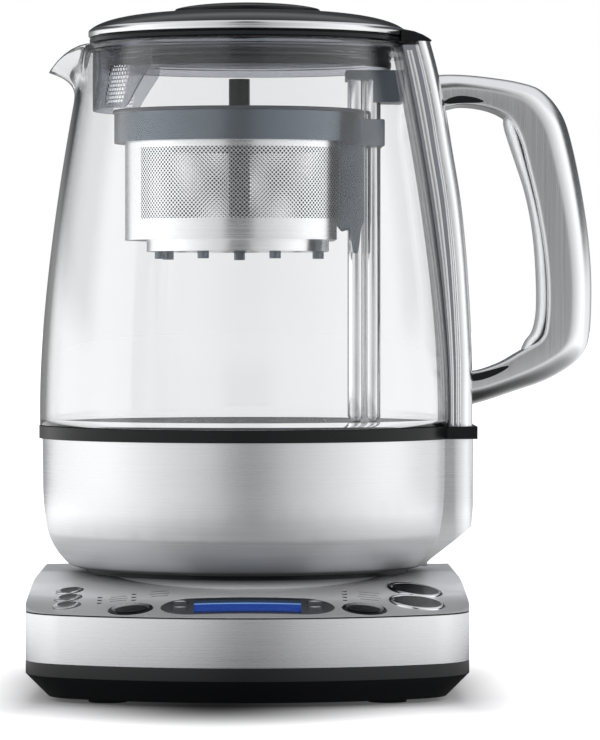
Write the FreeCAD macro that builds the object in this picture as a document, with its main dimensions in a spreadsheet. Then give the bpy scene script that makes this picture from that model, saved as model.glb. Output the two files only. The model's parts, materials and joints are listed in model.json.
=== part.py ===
import FreeCAD, Part
import math
import os
import re

import Sketcher

# Automatic tea maker: a glass jug on a steel bowl, a basket that rides up and down a post
# inside the jug, a lift-off lid, and a power base with buttons and a display.
# Frame: +Z up, front towards -Y, handle towards +X, spout towards -X.
# Origin: on the jug's axis, in the plane that the feet stand on. Millimetres.

# Sizes that are set by themselves.
SIZES = {
    # how far a cutting form runs past what it cuts
    "cut_past": 1.0,
    # power base: plan
    "base_half_width": 92.5,
    "base_half_depth": 105.0,
    "base_bow": 145.0,
    "base_corner": 33.0,
    # power base: feet, tray, band, deck
    "foot_tall": 2.0,
    "foot_radius": 8.0,
    "foot_middle_radius": 11.0,
    "foot_inset_x": 34.5,
    "foot_inset_y": 41.0,
    "housing_tall": 15.0,
    "housing_wall": 2.4,
    "housing_floor": 3.0,
    "housing_chamfer": 9.5,
    "band_tall": 19.8,
    "band_wall": 1.2,
    "seam_tall": 0.6,
    "seam_inset": 0.6,
    "deck_edge": 0.2,
    "deck_rise": 12.4,
    "deck_wall": 1.6,
    "deck_flat_radius": 81.4,
    "deck_shoulder": 10.0,
    "deck_back_round": 10.0,
    "seat_radius": 60.0,
    "seat_step": 0.2,
    "seat_wall_tall": 5.0,
    # power base: fastenings and boards
    "screw_inset_x": 16.5,
    "screw_back_y": 40.0,
    "screw_behind_button": 21.0,
    "screw_radius": 1.5,
    "screw_long": 16.0,
    "screw_fit": 0.2,
    "screw_head_radius": 2.9,
    "screw_head_tall": 2.0,
    "boss_radius": 3.5,
    "boss_room": 0.5,
    "pillar_front_x": 50.0,
    "pillar_front_inset": 36.0,
    "pillar_back_x": 30.0,
    "pillar_back_y": 38.0,
    "board_lift": 7.0,
    "board_thick": 1.6,
    "board_inset_x": 10.5,
    "board_inset_y": 9.0,
    "board_back_y": 28.0,
    "board_room": 1.0,
    "supply_long": 70.0,
    "supply_wide": 50.0,
    "supply_tall": 18.0,
    "supply_inset_y": 21.0,
    # power base: connector and lead bush
    "hub_radius": 15.0,
    "hub_rise": 11.0,
    "hub_rim": 3.0,
    "hub_recess": 4.0,
    "hub_flange_radius": 22.0,
    "hub_flange_thick": 2.0,
    "pin_radius": 2.0,
    "pin_ring_radius": 8.0,
    "pin_wall": 0.8,
    "gland_radius": 6.5,
    "gland_bore": 3.6,
    "gland_reach": 3.0,
    "gland_deep": 9.0,
    "gland_collar": 2.0,
    "gland_nut_thick": 3.0,
    "gland_nut_gap": 0.3,
    # panel: display and arrow keys
    "panel_fit": 0.25,
    "display_half_long": 35.5,
    "display_half_wide": 12.8,
    "display_inset": 19.5,
    "display_deep": 3.2,
    "window_half_long": 22.0,
    "window_half_wide": 11.4,
    "window_thick": 1.2,
    "glass_to_module": 0.05,
    "key_half_long": 2.9,
    "key_half_wide": 2.4,
    "key_x": 27.8,
    "key_apart": 9.4,
    "key_past_display": 2.5,
    "key_stand": 0.5,
    "key_deep": 5.0,
    # panel: round buttons and lamps
    "small_radius": 5.2,
    "small_inset": 17.3,
    "small_past_corner": 14.6,
    "small_pitch": 14.0,
    "medium_radius": 7.8,
    "medium_x": 48.0,
    "medium_edge": 11.1,
    "large_radius": 10.0,
    "large_inset": 21.9,
    "large_past_corner": 12.1,
    "large_pitch": 24.0,
    "button_stand": 0.8,
    "button_dish": 0.5,
    "flange_over": 1.2,
    "flange_thick": 1.0,
    "flange_gap": 0.3,
    "stem_radius": 2.2,
    "stem_fit": 0.1,
    "stem_gap": 1.6,
    "guide_wall": 1.2,
    "guide_tall": 5.5,
    "guide_root": 2.0,
    "hole_deep": 6.4,
    "ring_wide": 1.3,
    "ring_stand": 0.35,
    "lamp_radius": 1.0,
    "lamp_stand": 0.2,
    "lamp_left_in": 13.9,
    "lamp_mid_in": 0.9,
    "lamp_right_in": 7.7,
    "lamp_left_inset": 44.8,
    "lamp_right_inset": 47.4,
    "lamp_pitch": 5.0,
    # jug: foot, bowl, collar, floor
    "jug_gap": 0.3,
    "foot_ring_radius": 76.6,
    "foot_ring_tall": 3.6,
    "foot_ring_edge": 1.0,
    "foot_ring_wall": 4.0,
    "foot_plate_thick": 2.6,
    "bowl_wall": 1.0,
    "bowl_tall": 53.8,
    "bowl_knee_out": 9.0,
    "bowl_knee_rise": 14.1,
    "bowl_waist_out": 11.0,
    "bowl_waist_rise": 35.5,
    "bowl_top_out": 11.2,
    "bowl_foot_curve": 30.7,
    "bowl_side_curve": 111.0,
    "bulge_out": 8.1,
    "bulge_half_wide": 27.0,
    "bulge_corner": 9.0,
    "bulge_low_rise": 1.9,
    "bulge_knee_rise": 16.5,
    "bulge_side_rise": 25.5,
    "bulge_knee_in": 1.0,
    "bulge_foot_in": 0.6,
    "bulge_root_x": 62.0,
    "collar_tall": 5.3,
    "collar_over": 1.4,
    "collar_ledge": 7.8,
    "floor_step": 1.4,
    "floor_thick": 2.0,
    "floor_clear": 0.6,
    "gasket_wide": 1.2,
    "gasket_drop": 1.2,
    "gasket_lip": 4.0,
    "element_radius": 58.0,
    "element_tube": 3.6,
    "element_gap": 0.05,
    "sensor_radius": 9.0,
    "sensor_tall": 7.0,
    "sensor_x": 24.0,
    "socket_wall": 5.4,
    "socket_tall": 20.0,
    "socket_clear": 0.6,
    "socket_roof": 2.5,
    "socket_pillar": 5.0,
    # jug: glass
    "glass_wall": 2.5,
    "glass_in": 0.3,
    "glass_tall": 162.8,
    "glass_straight": 8.8,
    "glass_belly_rise": 122.3,
    "glass_belly_in": 12.1,
    "glass_rim_in": 19.1,
    "glass_curve": 551.0,
    "spout_out": 16.6,
    "spout_tip_drop": 13.2,
    "spout_lip_drop": 9.5,
    "spout_drop": 30.0,
    "spout_half_wide": 17.0,
    "spout_waist_out": 4.0,
    "spout_waist_wide": 10.5,
    "spout_waist_lift": 2.0,
    "spout_waist_drop": 1.5,
    "spout_tip_wide": 3.6,
    "spout_root_in": 9.8,
    "channel_wall": 2.0,
    "channel_past": 1.0,
    # jug: lift
    "post_x": 43.1,
    "post_thick": 13.7,
    "post_half_wide": 9.5,
    "post_corner": 2.4,
    "post_wall": 2.4,
    "post_cap": 1.0,
    "post_top_drop": 12.0,
    "bracket_over": 0.6,
    "bracket_inner_tall": 4.1,
    "bracket_outer_tall": 13.6,
    "bracket_step_in": 3.4,
    "bracket_lap": 1.0,
    "bracket_out": 9.8,
    "bracket_half_wide": 11.5,
    "motor_radius": 13.0,
    "motor_tall": 30.0,
    "motor_drop": 14.6,
    "cradle_wall": 2.0,
    "cradle_grip": 12.0,
    "coupler_radius": 4.0,
    "coupler_tall": 8.0,
    "coupler_gap": 0.05,
    "thread_radius": 2.0,
    "thread_fit": 0.1,
    "thread_clear": 0.3,
    "thread_top_drop": 4.0,
    "carriage_tall": 34.0,
    "carriage_fit": 0.3,
    "carriage_lift": 10.0,
    # jug: handle side
    "column_deep": 15.6,
    "column_half_wide": 24.0,
    "column_foot_out": 6.7,
    "column_low_rise": 39.8,
    "column_mid_rise": 96.2,
    "column_mid_in": 5.0,
    "column_top_out": 7.2,
    "cover_half_wide": 19.5,
    "cover_wall": 1.2,
    "glass_bond": 0.05,
    "cap_gap": 0.2,
    "cap_tall": 6.4,
    "cap_slope": 2.0,
    "cap_step": 3.0,
    "cap_in": 1.0,
    "handle_out": 52.0,
    "handle_half_wide": 14.0,
    "handle_edge": 4.0,
    "handle_top_drop": 12.0,
    "handle_shoulder_in": 31.0,
    "handle_shoulder_drop": 15.3,
    "handle_bend_in": 13.0,
    "handle_bend_drop": 30.0,
    "handle_waist_rise": 54.8,
    "handle_heel_rise": 22.8,
    "handle_low_rise": 8.1,
    "handle_low_slope": 1.2,
    "handle_arm": 14.3,
    "handle_low_arm": 14.4,
    "handle_root_in": 4.0,
    "handle_toe_in": 12.0,
    "handle_toe_drop": 7.0,
    "handle_crook_in": 10.0,
    "handle_crook_drop": 1.0,
    "handle_bend_curve": 20.0,
    "handle_back_curve": 274.0,
    "handle_heel_curve": 45.0,
    "grip_half_wide": 11.0,
    "grip_thick": 3.8,
    "grip_tip": 1.5,
    "grip_top_in": 35.6,
    "grip_top_drop": 31.7,
    "grip_low_in": 19.8,
    "grip_low_rise": 49.8,
    "grip_heel_in": 25.4,
    "grip_toe_rise": 34.7,
    "grip_toe_in": 0.8,
    "grip_back_curve": 221.0,
    "grip_toe_curve": 18.0,
    # lid
    "lid_gap": 0.3,
    "lid_in": 2.2,
    "lid_wall": 2.2,
    "lid_rim_tall": 6.3,
    "lid_edge_round": 1.2,
    "lid_edge_rise": 0.3,
    "lid_inner_top": 3.0,
    "lid_inner_low": 1.0,
    "lid_dome_tall": 6.7,
    "lid_dome_round": 4.3,
    "lid_dome_step": 1.5,
    "lid_crown_in": 24.6,
    "lid_crown_drop": 0.9,
    "trim_rise": 3.3,
    "trim_tall": 1.8,
    "trim_stand": 0.5,
    "knob_radius": 31.3,
    "knob_tall": 4.5,
    "knob_foot_in": 3.0,
    "knob_edge_low": 1.4,
    "knob_edge_high": 2.6,
    "knob_edge_in": 0.8,
    "knob_crown_in": 12.0,
    "knob_crown_drop": 0.6,
    "skirt_in": 6.6,
    "skirt_wall": 2.0,
    "skirt_up": 5.6,
    "skirt_drop": 6.4,
    "skirt_ridge": 0.7,
    "skirt_ridge_pitch": 2.2,
    "skirt_ridge_tall": 1.0,
    "seal_drop": 4.7,
    "seal_thick": 3.0,
    "seal_clear": 0.3,
    "seal_edge": 1.0,
    "flap_clear": 0.5,
    "flap_half_angle": 46.0,
    "flap_drop": 24.6,
    "flap_wall": 1.8,
    # basket, at the top of its travel
    "basket_x": -3.5,
    "basket_radius": 49.0,
    "basket_wall": 0.8,
    "basket_drop": 16.5,
    "basket_wall_tall": 40.7,
    "basket_post_gap": 5.5,
    "basket_ring_out": 4.6,
    "basket_ring_tall": 13.8,
    "basket_ring_wall": 3.0,
    "basket_ring_ledge": 4.0,
    "basket_mouth_in": 6.0,
    "basket_ring_flat_wall": 4.0,
    "basket_base_in": 9.3,
    "basket_base_tall": 5.6,
    "basket_base_flat_in": 3.0,
    "basket_foot_tall": 3.2,
    "basket_foot_radius": 2.4,
    "basket_foot_in": 4.0,
    "rider_gap": 0.3,
    "rider_reach": 8.9,
    "rider_half_wide": 15.0,
    "rider_fit": 0.35,
    "rider_rise": 3.0,
    "rider_lap": 1.0,
    "rider_bond": 0.01,
    "clip_out": 3.4,
    "clip_drop": 1.7,
    "clip_top_drop": 3.5,
    "tea_lid_in": 10.0,
    "tea_lid_drop": 2.5,
    "tea_lid_thick": 3.0,
    "tea_lid_wall": 1.6,
    "tea_lid_gap": 0.3,
    "tea_lid_flat_in": 4.5,
    "tea_stem_radius": 4.5,
    "tea_stem_up": 13.7,
    "tea_stem_lift": 4.0,
}

# Sizes and places that follow from those.
PLACES = {
    # power base
    "foot_across": "base_half_width - foot_inset_x",
    "foot_along": "base_half_depth - foot_inset_y",
    "housing_top": "foot_tall + housing_tall",
    "housing_floor_top": "foot_tall + housing_floor",
    "housing_knee": "foot_tall + housing_chamfer",
    "band_top": "housing_top + band_tall",
    "deck_low": "band_top + seam_tall",
    "deck_top": "deck_low + deck_edge + deck_rise",
    "deck_fall": "deck_rise / (base_bow - deck_flat_radius)",
    "deck_centre_y": "base_bow - base_half_depth",
    "corner_x": "base_half_width - base_corner",
    "corner_y": "sqrt((base_bow - base_corner) ^ 2 - corner_x ^ 2) - deck_centre_y",
    "deck_deep": "deck_rise + deck_shoulder",
    "seat_top": "deck_top + seat_step",
    "seat_wall_low": "deck_top - deck_wall - seat_wall_tall",
    "screw_x": "base_half_width - screw_inset_x",
    "screw_seat": "foot_tall + screw_head_tall",
    "board_low": "housing_top + board_lift",
    "board_top": "board_low + board_thick",
    "board_half_long": "base_half_width - board_inset_x",
    "board_front_y": "base_half_depth - board_inset_y",
    "pillar_front_y": "board_front_y - pillar_front_inset",
    "hub_top": "seat_top + hub_rise",
    "hub_bore": "hub_radius - hub_rim",
    "gland_z": "(band_top + housing_top) / 2",
    "display_y": "base_half_depth - display_inset",
    "key_y_down": "display_y + key_past_display",
    "key_y_up": "key_y_down - key_apart",
    "small_x": "base_half_width - small_inset",
    "small_y_front": "corner_y + small_past_corner",
    "medium_y": "sqrt((base_bow - medium_edge) ^ 2 - medium_x ^ 2) - deck_centre_y",
    "large_x": "base_half_width - large_inset",
    "large_y_front": "corner_y + large_past_corner",
    "large_y_back": "large_y_front - large_pitch",
    "lamp_left_x": "small_x - lamp_left_in",
    "lamp_mid_x": "medium_x - lamp_mid_in",
    "lamp_right_x": "medium_x - lamp_right_in",
    "lamp_left_y": "base_half_depth - lamp_left_inset",
    "lamp_right_y": "base_half_depth - lamp_right_inset",
    "screw_front_y": "large_y_back - screw_behind_button",
    "supply_back_y": "base_half_depth - supply_inset_y",
    # jug: bowl, collar, floor
    "jug_bottom": "seat_top + jug_gap",
    "foot_plate_top": "jug_bottom + foot_plate_thick",
    "bowl_low": "jug_bottom + foot_ring_tall",
    "bowl_top": "bowl_low + bowl_tall",
    "bowl_top_radius": "foot_ring_radius + bowl_top_out",
    "bulge_reach": "bowl_top_radius + bulge_out",
    "collar_top": "bowl_top + collar_tall",
    "collar_radius": "bowl_top_radius + collar_over",
    "floor_top": "collar_top + floor_step",
    "floor_low": "floor_top - floor_thick",
    "floor_radius": "glass_bottom_radius - glass_wall - gasket_wide - floor_clear",
    "socket_room": "hub_radius + socket_clear",
    "socket_top": "foot_plate_top + socket_tall",
    # jug: glass
    "glass_bottom_radius": "collar_radius - glass_in",
    "glass_belly_z": "collar_top + glass_belly_rise",
    "glass_rim": "collar_top + glass_tall",
    "glass_rim_radius": "glass_bottom_radius - glass_rim_in",
    # jug: lift
    "post_back_x": "post_x + post_thick",
    "post_middle_x": "post_x + post_thick / 2",
    "post_top": "glass_rim - post_top_drop",
    "bracket_top": "post_top + bracket_over",
    "motor_top": "floor_low - motor_drop",
    "motor_low": "motor_top - motor_tall",
    "thread_top": "post_top - thread_top_drop",
    # jug: handle side
    "column_foot_x": "glass_bottom_radius + column_foot_out",
    "column_mid_x": "column_foot_x - column_mid_in",
    "column_top_x": "glass_rim_radius + column_top_out",
    "handle_reach": "column_foot_x + handle_out",
    "handle_top_z": "glass_rim - handle_top_drop",
    "handle_bend_x": "handle_reach - handle_bend_in",
    "handle_low_z": "collar_top + handle_low_rise",
    "handle_root_x": "column_foot_x - handle_root_in",
    "grip_top_x": "handle_reach - grip_top_in",
    "grip_top_z": "glass_rim - grip_top_drop",
    "grip_low_x": "handle_reach - grip_low_in",
    "grip_low_z": "collar_top + grip_low_rise",
    "grip_toe_x": "handle_reach - grip_heel_in",
    "grip_toe_z": "collar_top + grip_toe_rise",
    "cap_low_z": "glass_rim + cap_gap",
    # lid
    "lid_radius": "glass_rim_radius - lid_in",
    "lid_low": "glass_rim + lid_gap",
    "lid_edge": "lid_low + lid_rim_tall",
    "lid_dome": "lid_edge + lid_dome_tall",
    "lid_crown_radius": "lid_radius - lid_crown_in",
    "knob_top": "lid_dome + knob_tall",
    "skirt_radius": "lid_radius - skirt_in",
    "seal_low": "lid_low - seal_drop",
    "seal_radius": "glass_rim_radius - glass_wall - seal_clear",
    "skirt_low": "seal_low - skirt_drop",
    "flap_radius": "glass_rim_radius - glass_wall - flap_clear",
    "flap_low": "seal_low - flap_drop",
    # basket
    "ring_top": "post_top - basket_drop",
    "ring_low": "ring_top - basket_ring_tall",
    "ring_radius": "basket_radius + basket_ring_out",
    "basket_low": "ring_low - basket_wall_tall",
    "basket_flat_x": "post_x - basket_post_gap",
    "base_plate_low": "basket_low - basket_wall",
    "basket_base_radius": "basket_radius - basket_base_in",
    "basket_base_low": "basket_low - basket_base_tall",
    "basket_foot_low": "basket_base_low - basket_foot_tall",
    "rider_x": "basket_flat_x + rider_gap",
    "rider_back_x": "post_x + rider_reach",
    "rider_low": "basket_low + rider_rise",
    "clip_back_x": "post_back_x + clip_out",
    "tea_lid_radius": "basket_radius - tea_lid_in",
    "tea_lid_top": "ring_top - tea_lid_drop",
    "tea_lid_low": "tea_lid_top - tea_lid_thick",
    "tea_stem_top": "ring_top + tea_stem_up",
    "tea_stem_low": "basket_low + tea_stem_lift",
}

# how near two measures are when they count as the same, in millimetres
CLOSE = 0.01

doc = FreeCAD.newDocument("tea_maker")


def make_sheet(name, cells):
    """A sheet with one aliased cell for each entry."""
    page = doc.addObject("Spreadsheet::Sheet", name)
    for row, (alias, content) in enumerate(cells.items(), start=1):
        page.set(f"A{row}", alias)
        page.set(f"B{row}", content)
        page.setAlias(f"B{row}", alias)
    doc.recompute()
    return page


def bound(text):
    """An expression written in the sheets' own names, as FreeCAD reads it."""
    return re.sub(r"[a-z_]+\w*", lambda word: qualified(word.group()), str(text))


def qualified(word):
    if word in SIZES:
        return f"Sizes.{word}"
    return f"Places.{word}" if word in PLACES else word


sheet = make_sheet("Sizes", {alias: str(size) for alias, size in SIZES.items()})
make_sheet("Places", {alias: f"={bound(formula)}" for alias, formula in PLACES.items()})


def value(text):
    """The present value of an expression."""
    return float(sheet.evalExpression(bound(text)))


def bind(item, **expressions):
    for name, text in expressions.items():
        item.setExpression(name.replace("__", "."), bound(text))
    return item


# ---------------------------------------------------------------- part primitives

def block(name, x_span, y_span, z_span):
    box = doc.addObject("Part::Box", name)
    spans = (x_span, y_span, z_span)
    for (low, high), side, axis in zip(spans, ("Length", "Width", "Height"), "xyz"):
        box.setExpression(side, bound(f"({high}) - ({low})"))
        box.setExpression(f"Placement.Base.{axis}", bound(low))
    return box


def rod(name, radius, z_span, at=("0", "0")):
    low, high = z_span
    shaft = doc.addObject("Part::Cylinder", name)
    bind(shaft, Radius=radius, Height=f"({high}) - ({low})")
    bind(shaft, Placement__Base__x=at[0], Placement__Base__y=at[1], Placement__Base__z=low)
    return shaft


def cone(name, radii, z_span, at=("0", "0")):
    low, high = z_span
    taper = doc.addObject("Part::Cone", name)
    bind(taper, Radius1=radii[0], Radius2=radii[1], Height=f"({high}) - ({low})")
    bind(taper, Placement__Base__x=at[0], Placement__Base__y=at[1], Placement__Base__z=low)
    return taper


def fuse(name, *pieces):
    joined = doc.addObject("Part::MultiFuse", name)
    joined.Shapes = list(pieces)
    return joined


def group(name, *pieces):
    """Pieces held together, to be placed as one."""
    holder = doc.addObject("Part::Compound", name)
    holder.Links = list(pieces)
    return holder


def common(name, *pieces):
    shared = doc.addObject("Part::MultiCommon", name)
    shared.Shapes = list(pieces)
    return shared


def cut(name, base, *tools):
    left = doc.addObject("Part::Cut", name)
    left.Base = base
    left.Tool = tools[0] if len(tools) == 1 else fuse(f"{name}_tools", *tools)
    return left


def tube(name, outer, inner, z_span, at=("0", "0")):
    return cut(name, rod(f"{name}_outside", outer, z_span, at), rod(f"{name}_bore", inner, z_span, at))


def rods(name, radius, z_span, spots):
    """One rod at each spot."""
    return [rod(f"{name}_{index}", radius, z_span, spot) for index, spot in enumerate(spots)]


# ---------------------------------------------------------------- sketches and bodies

def plane_of(body, role):
    return next(item for item in body.Origin.OriginFeatures if item.Role == role)


def arc_through(start, end, radius):
    """The shorter arc from start to end, anticlockwise where radius is positive."""
    middle = (start + end) / 2
    chord = end - start
    side = FreeCAD.Vector(-chord.y, chord.x, 0).normalize()
    reach = math.sqrt(max(radius ** 2 - (chord.Length / 2) ** 2, 0))
    centre = middle + side * math.copysign(reach, radius)
    circle = Part.Circle(centre, FreeCAD.Vector(0, 0, 1), abs(radius))
    first, last = (start, end) if radius > 0 else (end, start)
    return Part.ArcOfCircle(circle, circle.parameter(first), circle.parameter(last))


def outline(body, name, role, corners, lift="0"):
    """Closed outline on one of the body's planes. A corner is (across, up), or
    (across, up, radius) where the edge to the next corner is an arc."""
    sketch = body.newObject("Sketcher::SketchObject", name)
    sketch.AttachmentSupport = [(plane_of(body, role), "")]
    sketch.MapMode = "FlatFace"
    sketch.setExpression("AttachmentOffset.Base.z", bound(lift))
    points = [FreeCAD.Vector(value(corner[0]), value(corner[1]), 0) for corner in corners]
    ends = []
    for index, corner in enumerate(corners):
        start = points[index]
        end = points[(index + 1) % len(points)]
        if len(corner) == 2:
            sketch.addGeometry(Part.LineSegment(start, end))
            ends.append((1, 2))
            continue
        radius = value(corner[2])
        sketch.addGeometry(arc_through(start, end, radius))
        ends.append((1, 2) if radius > 0 else (2, 1))
    for index in range(len(corners)):
        following = (index + 1) % len(corners)
        sketch.addConstraint(Sketcher.Constraint(
            "Coincident", index, ends[index][1], following, ends[following][0]))
    for index, corner in enumerate(corners):
        for kind, text in zip(("DistanceX", "DistanceY"), corner):
            place = sketch.addConstraint(Sketcher.Constraint(
                kind, -1, 1, index, ends[index][0], value(text)))
            sketch.setExpression(f"Constraints[{place}]", bound(text))
        if len(corner) == 3:
            place = sketch.addConstraint(Sketcher.Constraint("Radius", index, abs(value(corner[2]))))
            sketch.setExpression(f"Constraints[{place}]", bound(f"abs({corner[2]})"))
    return sketch


def turned(name, corners):
    """A body turned about the Z axis from an outline of (radius, height) corners."""
    body = doc.addObject("PartDesign::Body", name)
    sketch = outline(body, f"{name}_section", "XZ_Plane", corners)
    turn = body.newObject("PartDesign::Revolution", f"{name}_turn")
    turn.Profile = sketch
    turn.ReferenceAxis = (sketch, ["V_Axis"])
    turn.Angle = 360
    return body


def upright_pad(name, corners, low, high):
    """A body padded upward from an outline in plan."""
    body = doc.addObject("PartDesign::Body", name)
    pad = body.newObject("PartDesign::Pad", f"{name}_pad")
    pad.Profile = outline(body, f"{name}_outline", "XY_Plane", corners, low)
    pad.setExpression("Length", bound(f"({high}) - ({low})"))
    return body


def side_pad(name, role, corners, half_wide):
    """A body padded to both sides from an outline on a plane through the jug's axis."""
    body = doc.addObject("PartDesign::Body", name)
    pad = body.newObject("PartDesign::Pad", f"{name}_pad")
    pad.Profile = outline(body, f"{name}_outline", role, corners)
    pad.Midplane = True
    pad.setExpression("Length", bound(f"2 * ({half_wide})"))
    return body


def rounded(body, feature, edges, radius, kind="PartDesign::Fillet"):
    """Rounds or chamfers the edges that the test picks."""
    doc.recompute()
    tip = body.Tip
    names = [f"Edge{place}" for place, edge in enumerate(tip.Shape.Edges, start=1) if edges(edge)]
    dressing = body.newObject(kind, feature)
    dressing.Base = (tip, names)
    dressing.setExpression("Size" if kind.endswith("Chamfer") else "Radius", bound(radius))
    return body


def base_plan(body, name, lift, inset):
    """The base's plan: bowed front and back, straight sides, round corners, all drawn in by inset."""
    sketch = body.newObject("Sketcher::SketchObject", name)
    sketch.AttachmentSupport = [(plane_of(body, "XY_Plane"), "")]
    sketch.MapMode = "FlatFace"
    sketch.setExpression("AttachmentOffset.Base.z", bound(lift))
    draw_in = value(inset)
    wide = value("base_half_width") - draw_in
    corner = value("base_corner") - draw_in
    bow = value("base_bow") - draw_in
    back_off = value("deck_centre_y")
    corner_x = wide - corner
    corner_y = math.sqrt((bow - corner) ** 2 - corner_x ** 2) - back_off
    lean = math.atan2(corner_x, corner_y + back_off)
    upright = FreeCAD.Vector(0, 0, 1)

    def arc(centre_x, centre_y, radius, start, end):
        circle = Part.Circle(FreeCAD.Vector(centre_x, centre_y, 0), upright, radius)
        sketch.addGeometry(Part.ArcOfCircle(circle, start, end))

    quarter = math.pi / 2
    right_side = FreeCAD.Vector(wide, 0, 0)
    up = FreeCAD.Vector(0, corner_y, 0)
    arc(0, -back_off, bow, quarter - lean, quarter + lean)
    arc(-corner_x, corner_y, corner, quarter + lean, 2 * quarter)
    sketch.addGeometry(Part.LineSegment(up - right_side, FreeCAD.Vector() - right_side - up))
    arc(-corner_x, -corner_y, corner, 2 * quarter, 3 * quarter - lean)
    arc(0, back_off, bow, 3 * quarter - lean, 3 * quarter + lean)
    arc(corner_x, -corner_y, corner, 3 * quarter + lean, 4 * quarter)
    sketch.addGeometry(Part.LineSegment(right_side - up, right_side + up))
    arc(corner_x, corner_y, corner, 0, quarter - lean)
    sides = 8
    for index in range(sides):
        sketch.addConstraint(Sketcher.Constraint("Tangent", index, 2, (index + 1) % sides, 1))
    for index in (0, 4):
        sketch.addConstraint(Sketcher.Constraint("PointOnObject", index, 3, -2))
    rules = [("Radius", (index,), f"base_bow - ({inset})") for index in (0, 4)]
    rules += [("Radius", (index,), f"base_corner - ({inset})") for index in (1, 3, 5, 7)]
    rules += [("DistanceY", (-1, 1, 0, 3), "-deck_centre_y"), ("DistanceY", (-1, 1, 4, 3), "deck_centre_y")]
    rules += [("DistanceX", (-1, 1, 6, 1), f"base_half_width - ({inset})")]
    rules += [("DistanceX", (2, 1, -1, 1), f"base_half_width - ({inset})")]
    for kind, members, text in rules:
        place = sketch.addConstraint(Sketcher.Constraint(kind, *members, value(text)))
        sketch.setExpression(f"Constraints[{place}]", bound(text))
    return sketch


def plan_pad(name, low, high, inset="0"):
    body = doc.addObject("PartDesign::Body", name)
    pad = body.newObject("PartDesign::Pad", f"{name}_pad")
    pad.Profile = base_plan(body, f"{name}_plan", low, inset)
    pad.setExpression("Length", bound(f"({high}) - ({low})"))
    return body


def plan_pocket(body, name, low, high, inset):
    """Hollows the body from high down to low, inside the plan drawn in by inset."""
    pocket = body.newObject("PartDesign::Pocket", name)
    pocket.Profile = base_plan(body, f"{name}_plan", high, inset)
    pocket.setExpression("Length", bound(f"({high}) - ({low})"))
    return body


def backward_rod(name, radius, start, end):
    """A rod along +Y through the base's back wall, from start to end past the wall's outside."""
    shaft = doc.addObject("Part::Cylinder", name)
    bind(shaft, Radius=radius, Height=f"({end}) - ({start})")
    backward = "create(<<rotation>>; create(<<vector>>; 1; 0; 0); -90)"
    spot = f"create(<<vector>>; 0; base_half_depth + ({start}); gland_z)"
    shaft.setExpression("Placement", bound(f"create(<<placement>>; {spot}; {backward})"))
    return shaft


NODES = []


def node(piece, label):
    piece.Label = label
    NODES.append(piece)
    return piece


# ---------------------------------------------------------------- power base: shells

SCREW_SPOTS = [("-screw_x", "screw_back_y"), ("screw_x", "screw_back_y"),
               ("-screw_x", "-screw_front_y"), ("screw_x", "-screw_front_y")]
PILLAR_SPOTS = [("-pillar_front_x", "-pillar_front_y"), ("pillar_front_x", "-pillar_front_y"),
                ("-pillar_back_x", "-pillar_back_y"), ("pillar_back_x", "-pillar_back_y")]
FOOT_SPOTS = [("-foot_across", "-foot_along"), ("foot_across", "-foot_along"),
              ("-foot_across", "foot_along"), ("foot_across", "foot_along")]


def make_base_shells():
    housing = plan_pad("housing_body", "foot_tall", "housing_top")
    under = value("foot_tall") + CLOSE
    rounded(housing, "housing_chamfered", lambda edge: edge.BoundBox.ZMax < under,
            "housing_chamfer", "PartDesign::Chamfer")
    plan_pocket(housing, "housing_upper_hollow", "housing_knee", "housing_top", "housing_wall")
    plan_pocket(housing, "housing_lower_hollow", "housing_floor_top", "housing_knee",
                "housing_chamfer + housing_wall")
    pillars = rods("board_pillar", "boss_radius", ("foot_tall", "board_low"), PILLAR_SPOTS)
    clearances = rods("housing_screw_hole", "screw_radius + screw_fit", ("0", "housing_floor_top"),
                      SCREW_SPOTS)
    sinks = rods("housing_screw_sink", "screw_head_radius + screw_fit", ("0", "screw_seat"), SCREW_SPOTS)
    whole = fuse("housing_whole", housing, *pillars)
    node(cut("housing_drilled", whole, *clearances, *sinks), "base_housing")
    feet = rods("foot", "foot_radius", ("0", "foot_tall"), FOOT_SPOTS)
    middle_foot = rod("foot_middle", "foot_middle_radius", ("0", "foot_tall"))
    node(fuse("feet", *feet, middle_foot), "base_feet")
    band = plan_pad("band_body", "housing_top", "band_top")
    plan_pocket(band, "band_hollow", "housing_top", "band_top", "band_wall")
    gland_hole = backward_rod("band_gland_hole", "gland_radius", "-gland_deep", "cut_past")
    node(cut("band_drilled", band, gland_hole), "base_band")
    seam = plan_pad("seam_body", "band_top", "deck_low", "seam_inset")
    plan_pocket(seam, "seam_hollow", "band_top", "deck_low", "seam_inset + deck_wall")
    node(seam, "deck_gasket")


# ---------------------------------------------------------------- power base: sloping deck

def deck_solid(name, lower):
    """The deck's outer form, drawn down and in by lower: the plan under a wide cone whose
    point is behind the jug's axis, with rounded shoulders at the sides and the back."""
    flat = f"deck_top - ({lower})"
    foot = f"{flat} - deck_deep"
    prism = plan_pad(f"{name}_prism", "deck_low", "deck_top", lower)
    slope = cone(f"{name}_cone", ("deck_flat_radius + deck_deep / deck_fall", "deck_flat_radius"),
                 (foot, flat), ("0", "deck_centre_y"))
    side = f"(base_half_width - ({lower}))"
    shoulder = f"{flat} - deck_shoulder"
    arch = side_pad(f"{name}_arch", "XZ_Plane", [
        (f"-{side}", foot), (side, foot), (side, shoulder, "deck_shoulder"),
        (f"{side} - deck_shoulder", flat), (f"deck_shoulder - {side}", flat, "deck_shoulder"),
        (f"-{side}", shoulder)], "base_half_depth")
    back = f"base_half_depth - ({lower})"
    front = "-base_half_depth - cut_past"
    rear = side_pad(f"{name}_rear", "YZ_Plane", [
        (front, foot), (back, foot), (back, f"{flat} - deck_back_round", "deck_back_round"),
        (f"{back} - deck_back_round", flat), (front, flat)], "base_half_width")
    return common(name, prism, slope, arch, rear)


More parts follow.
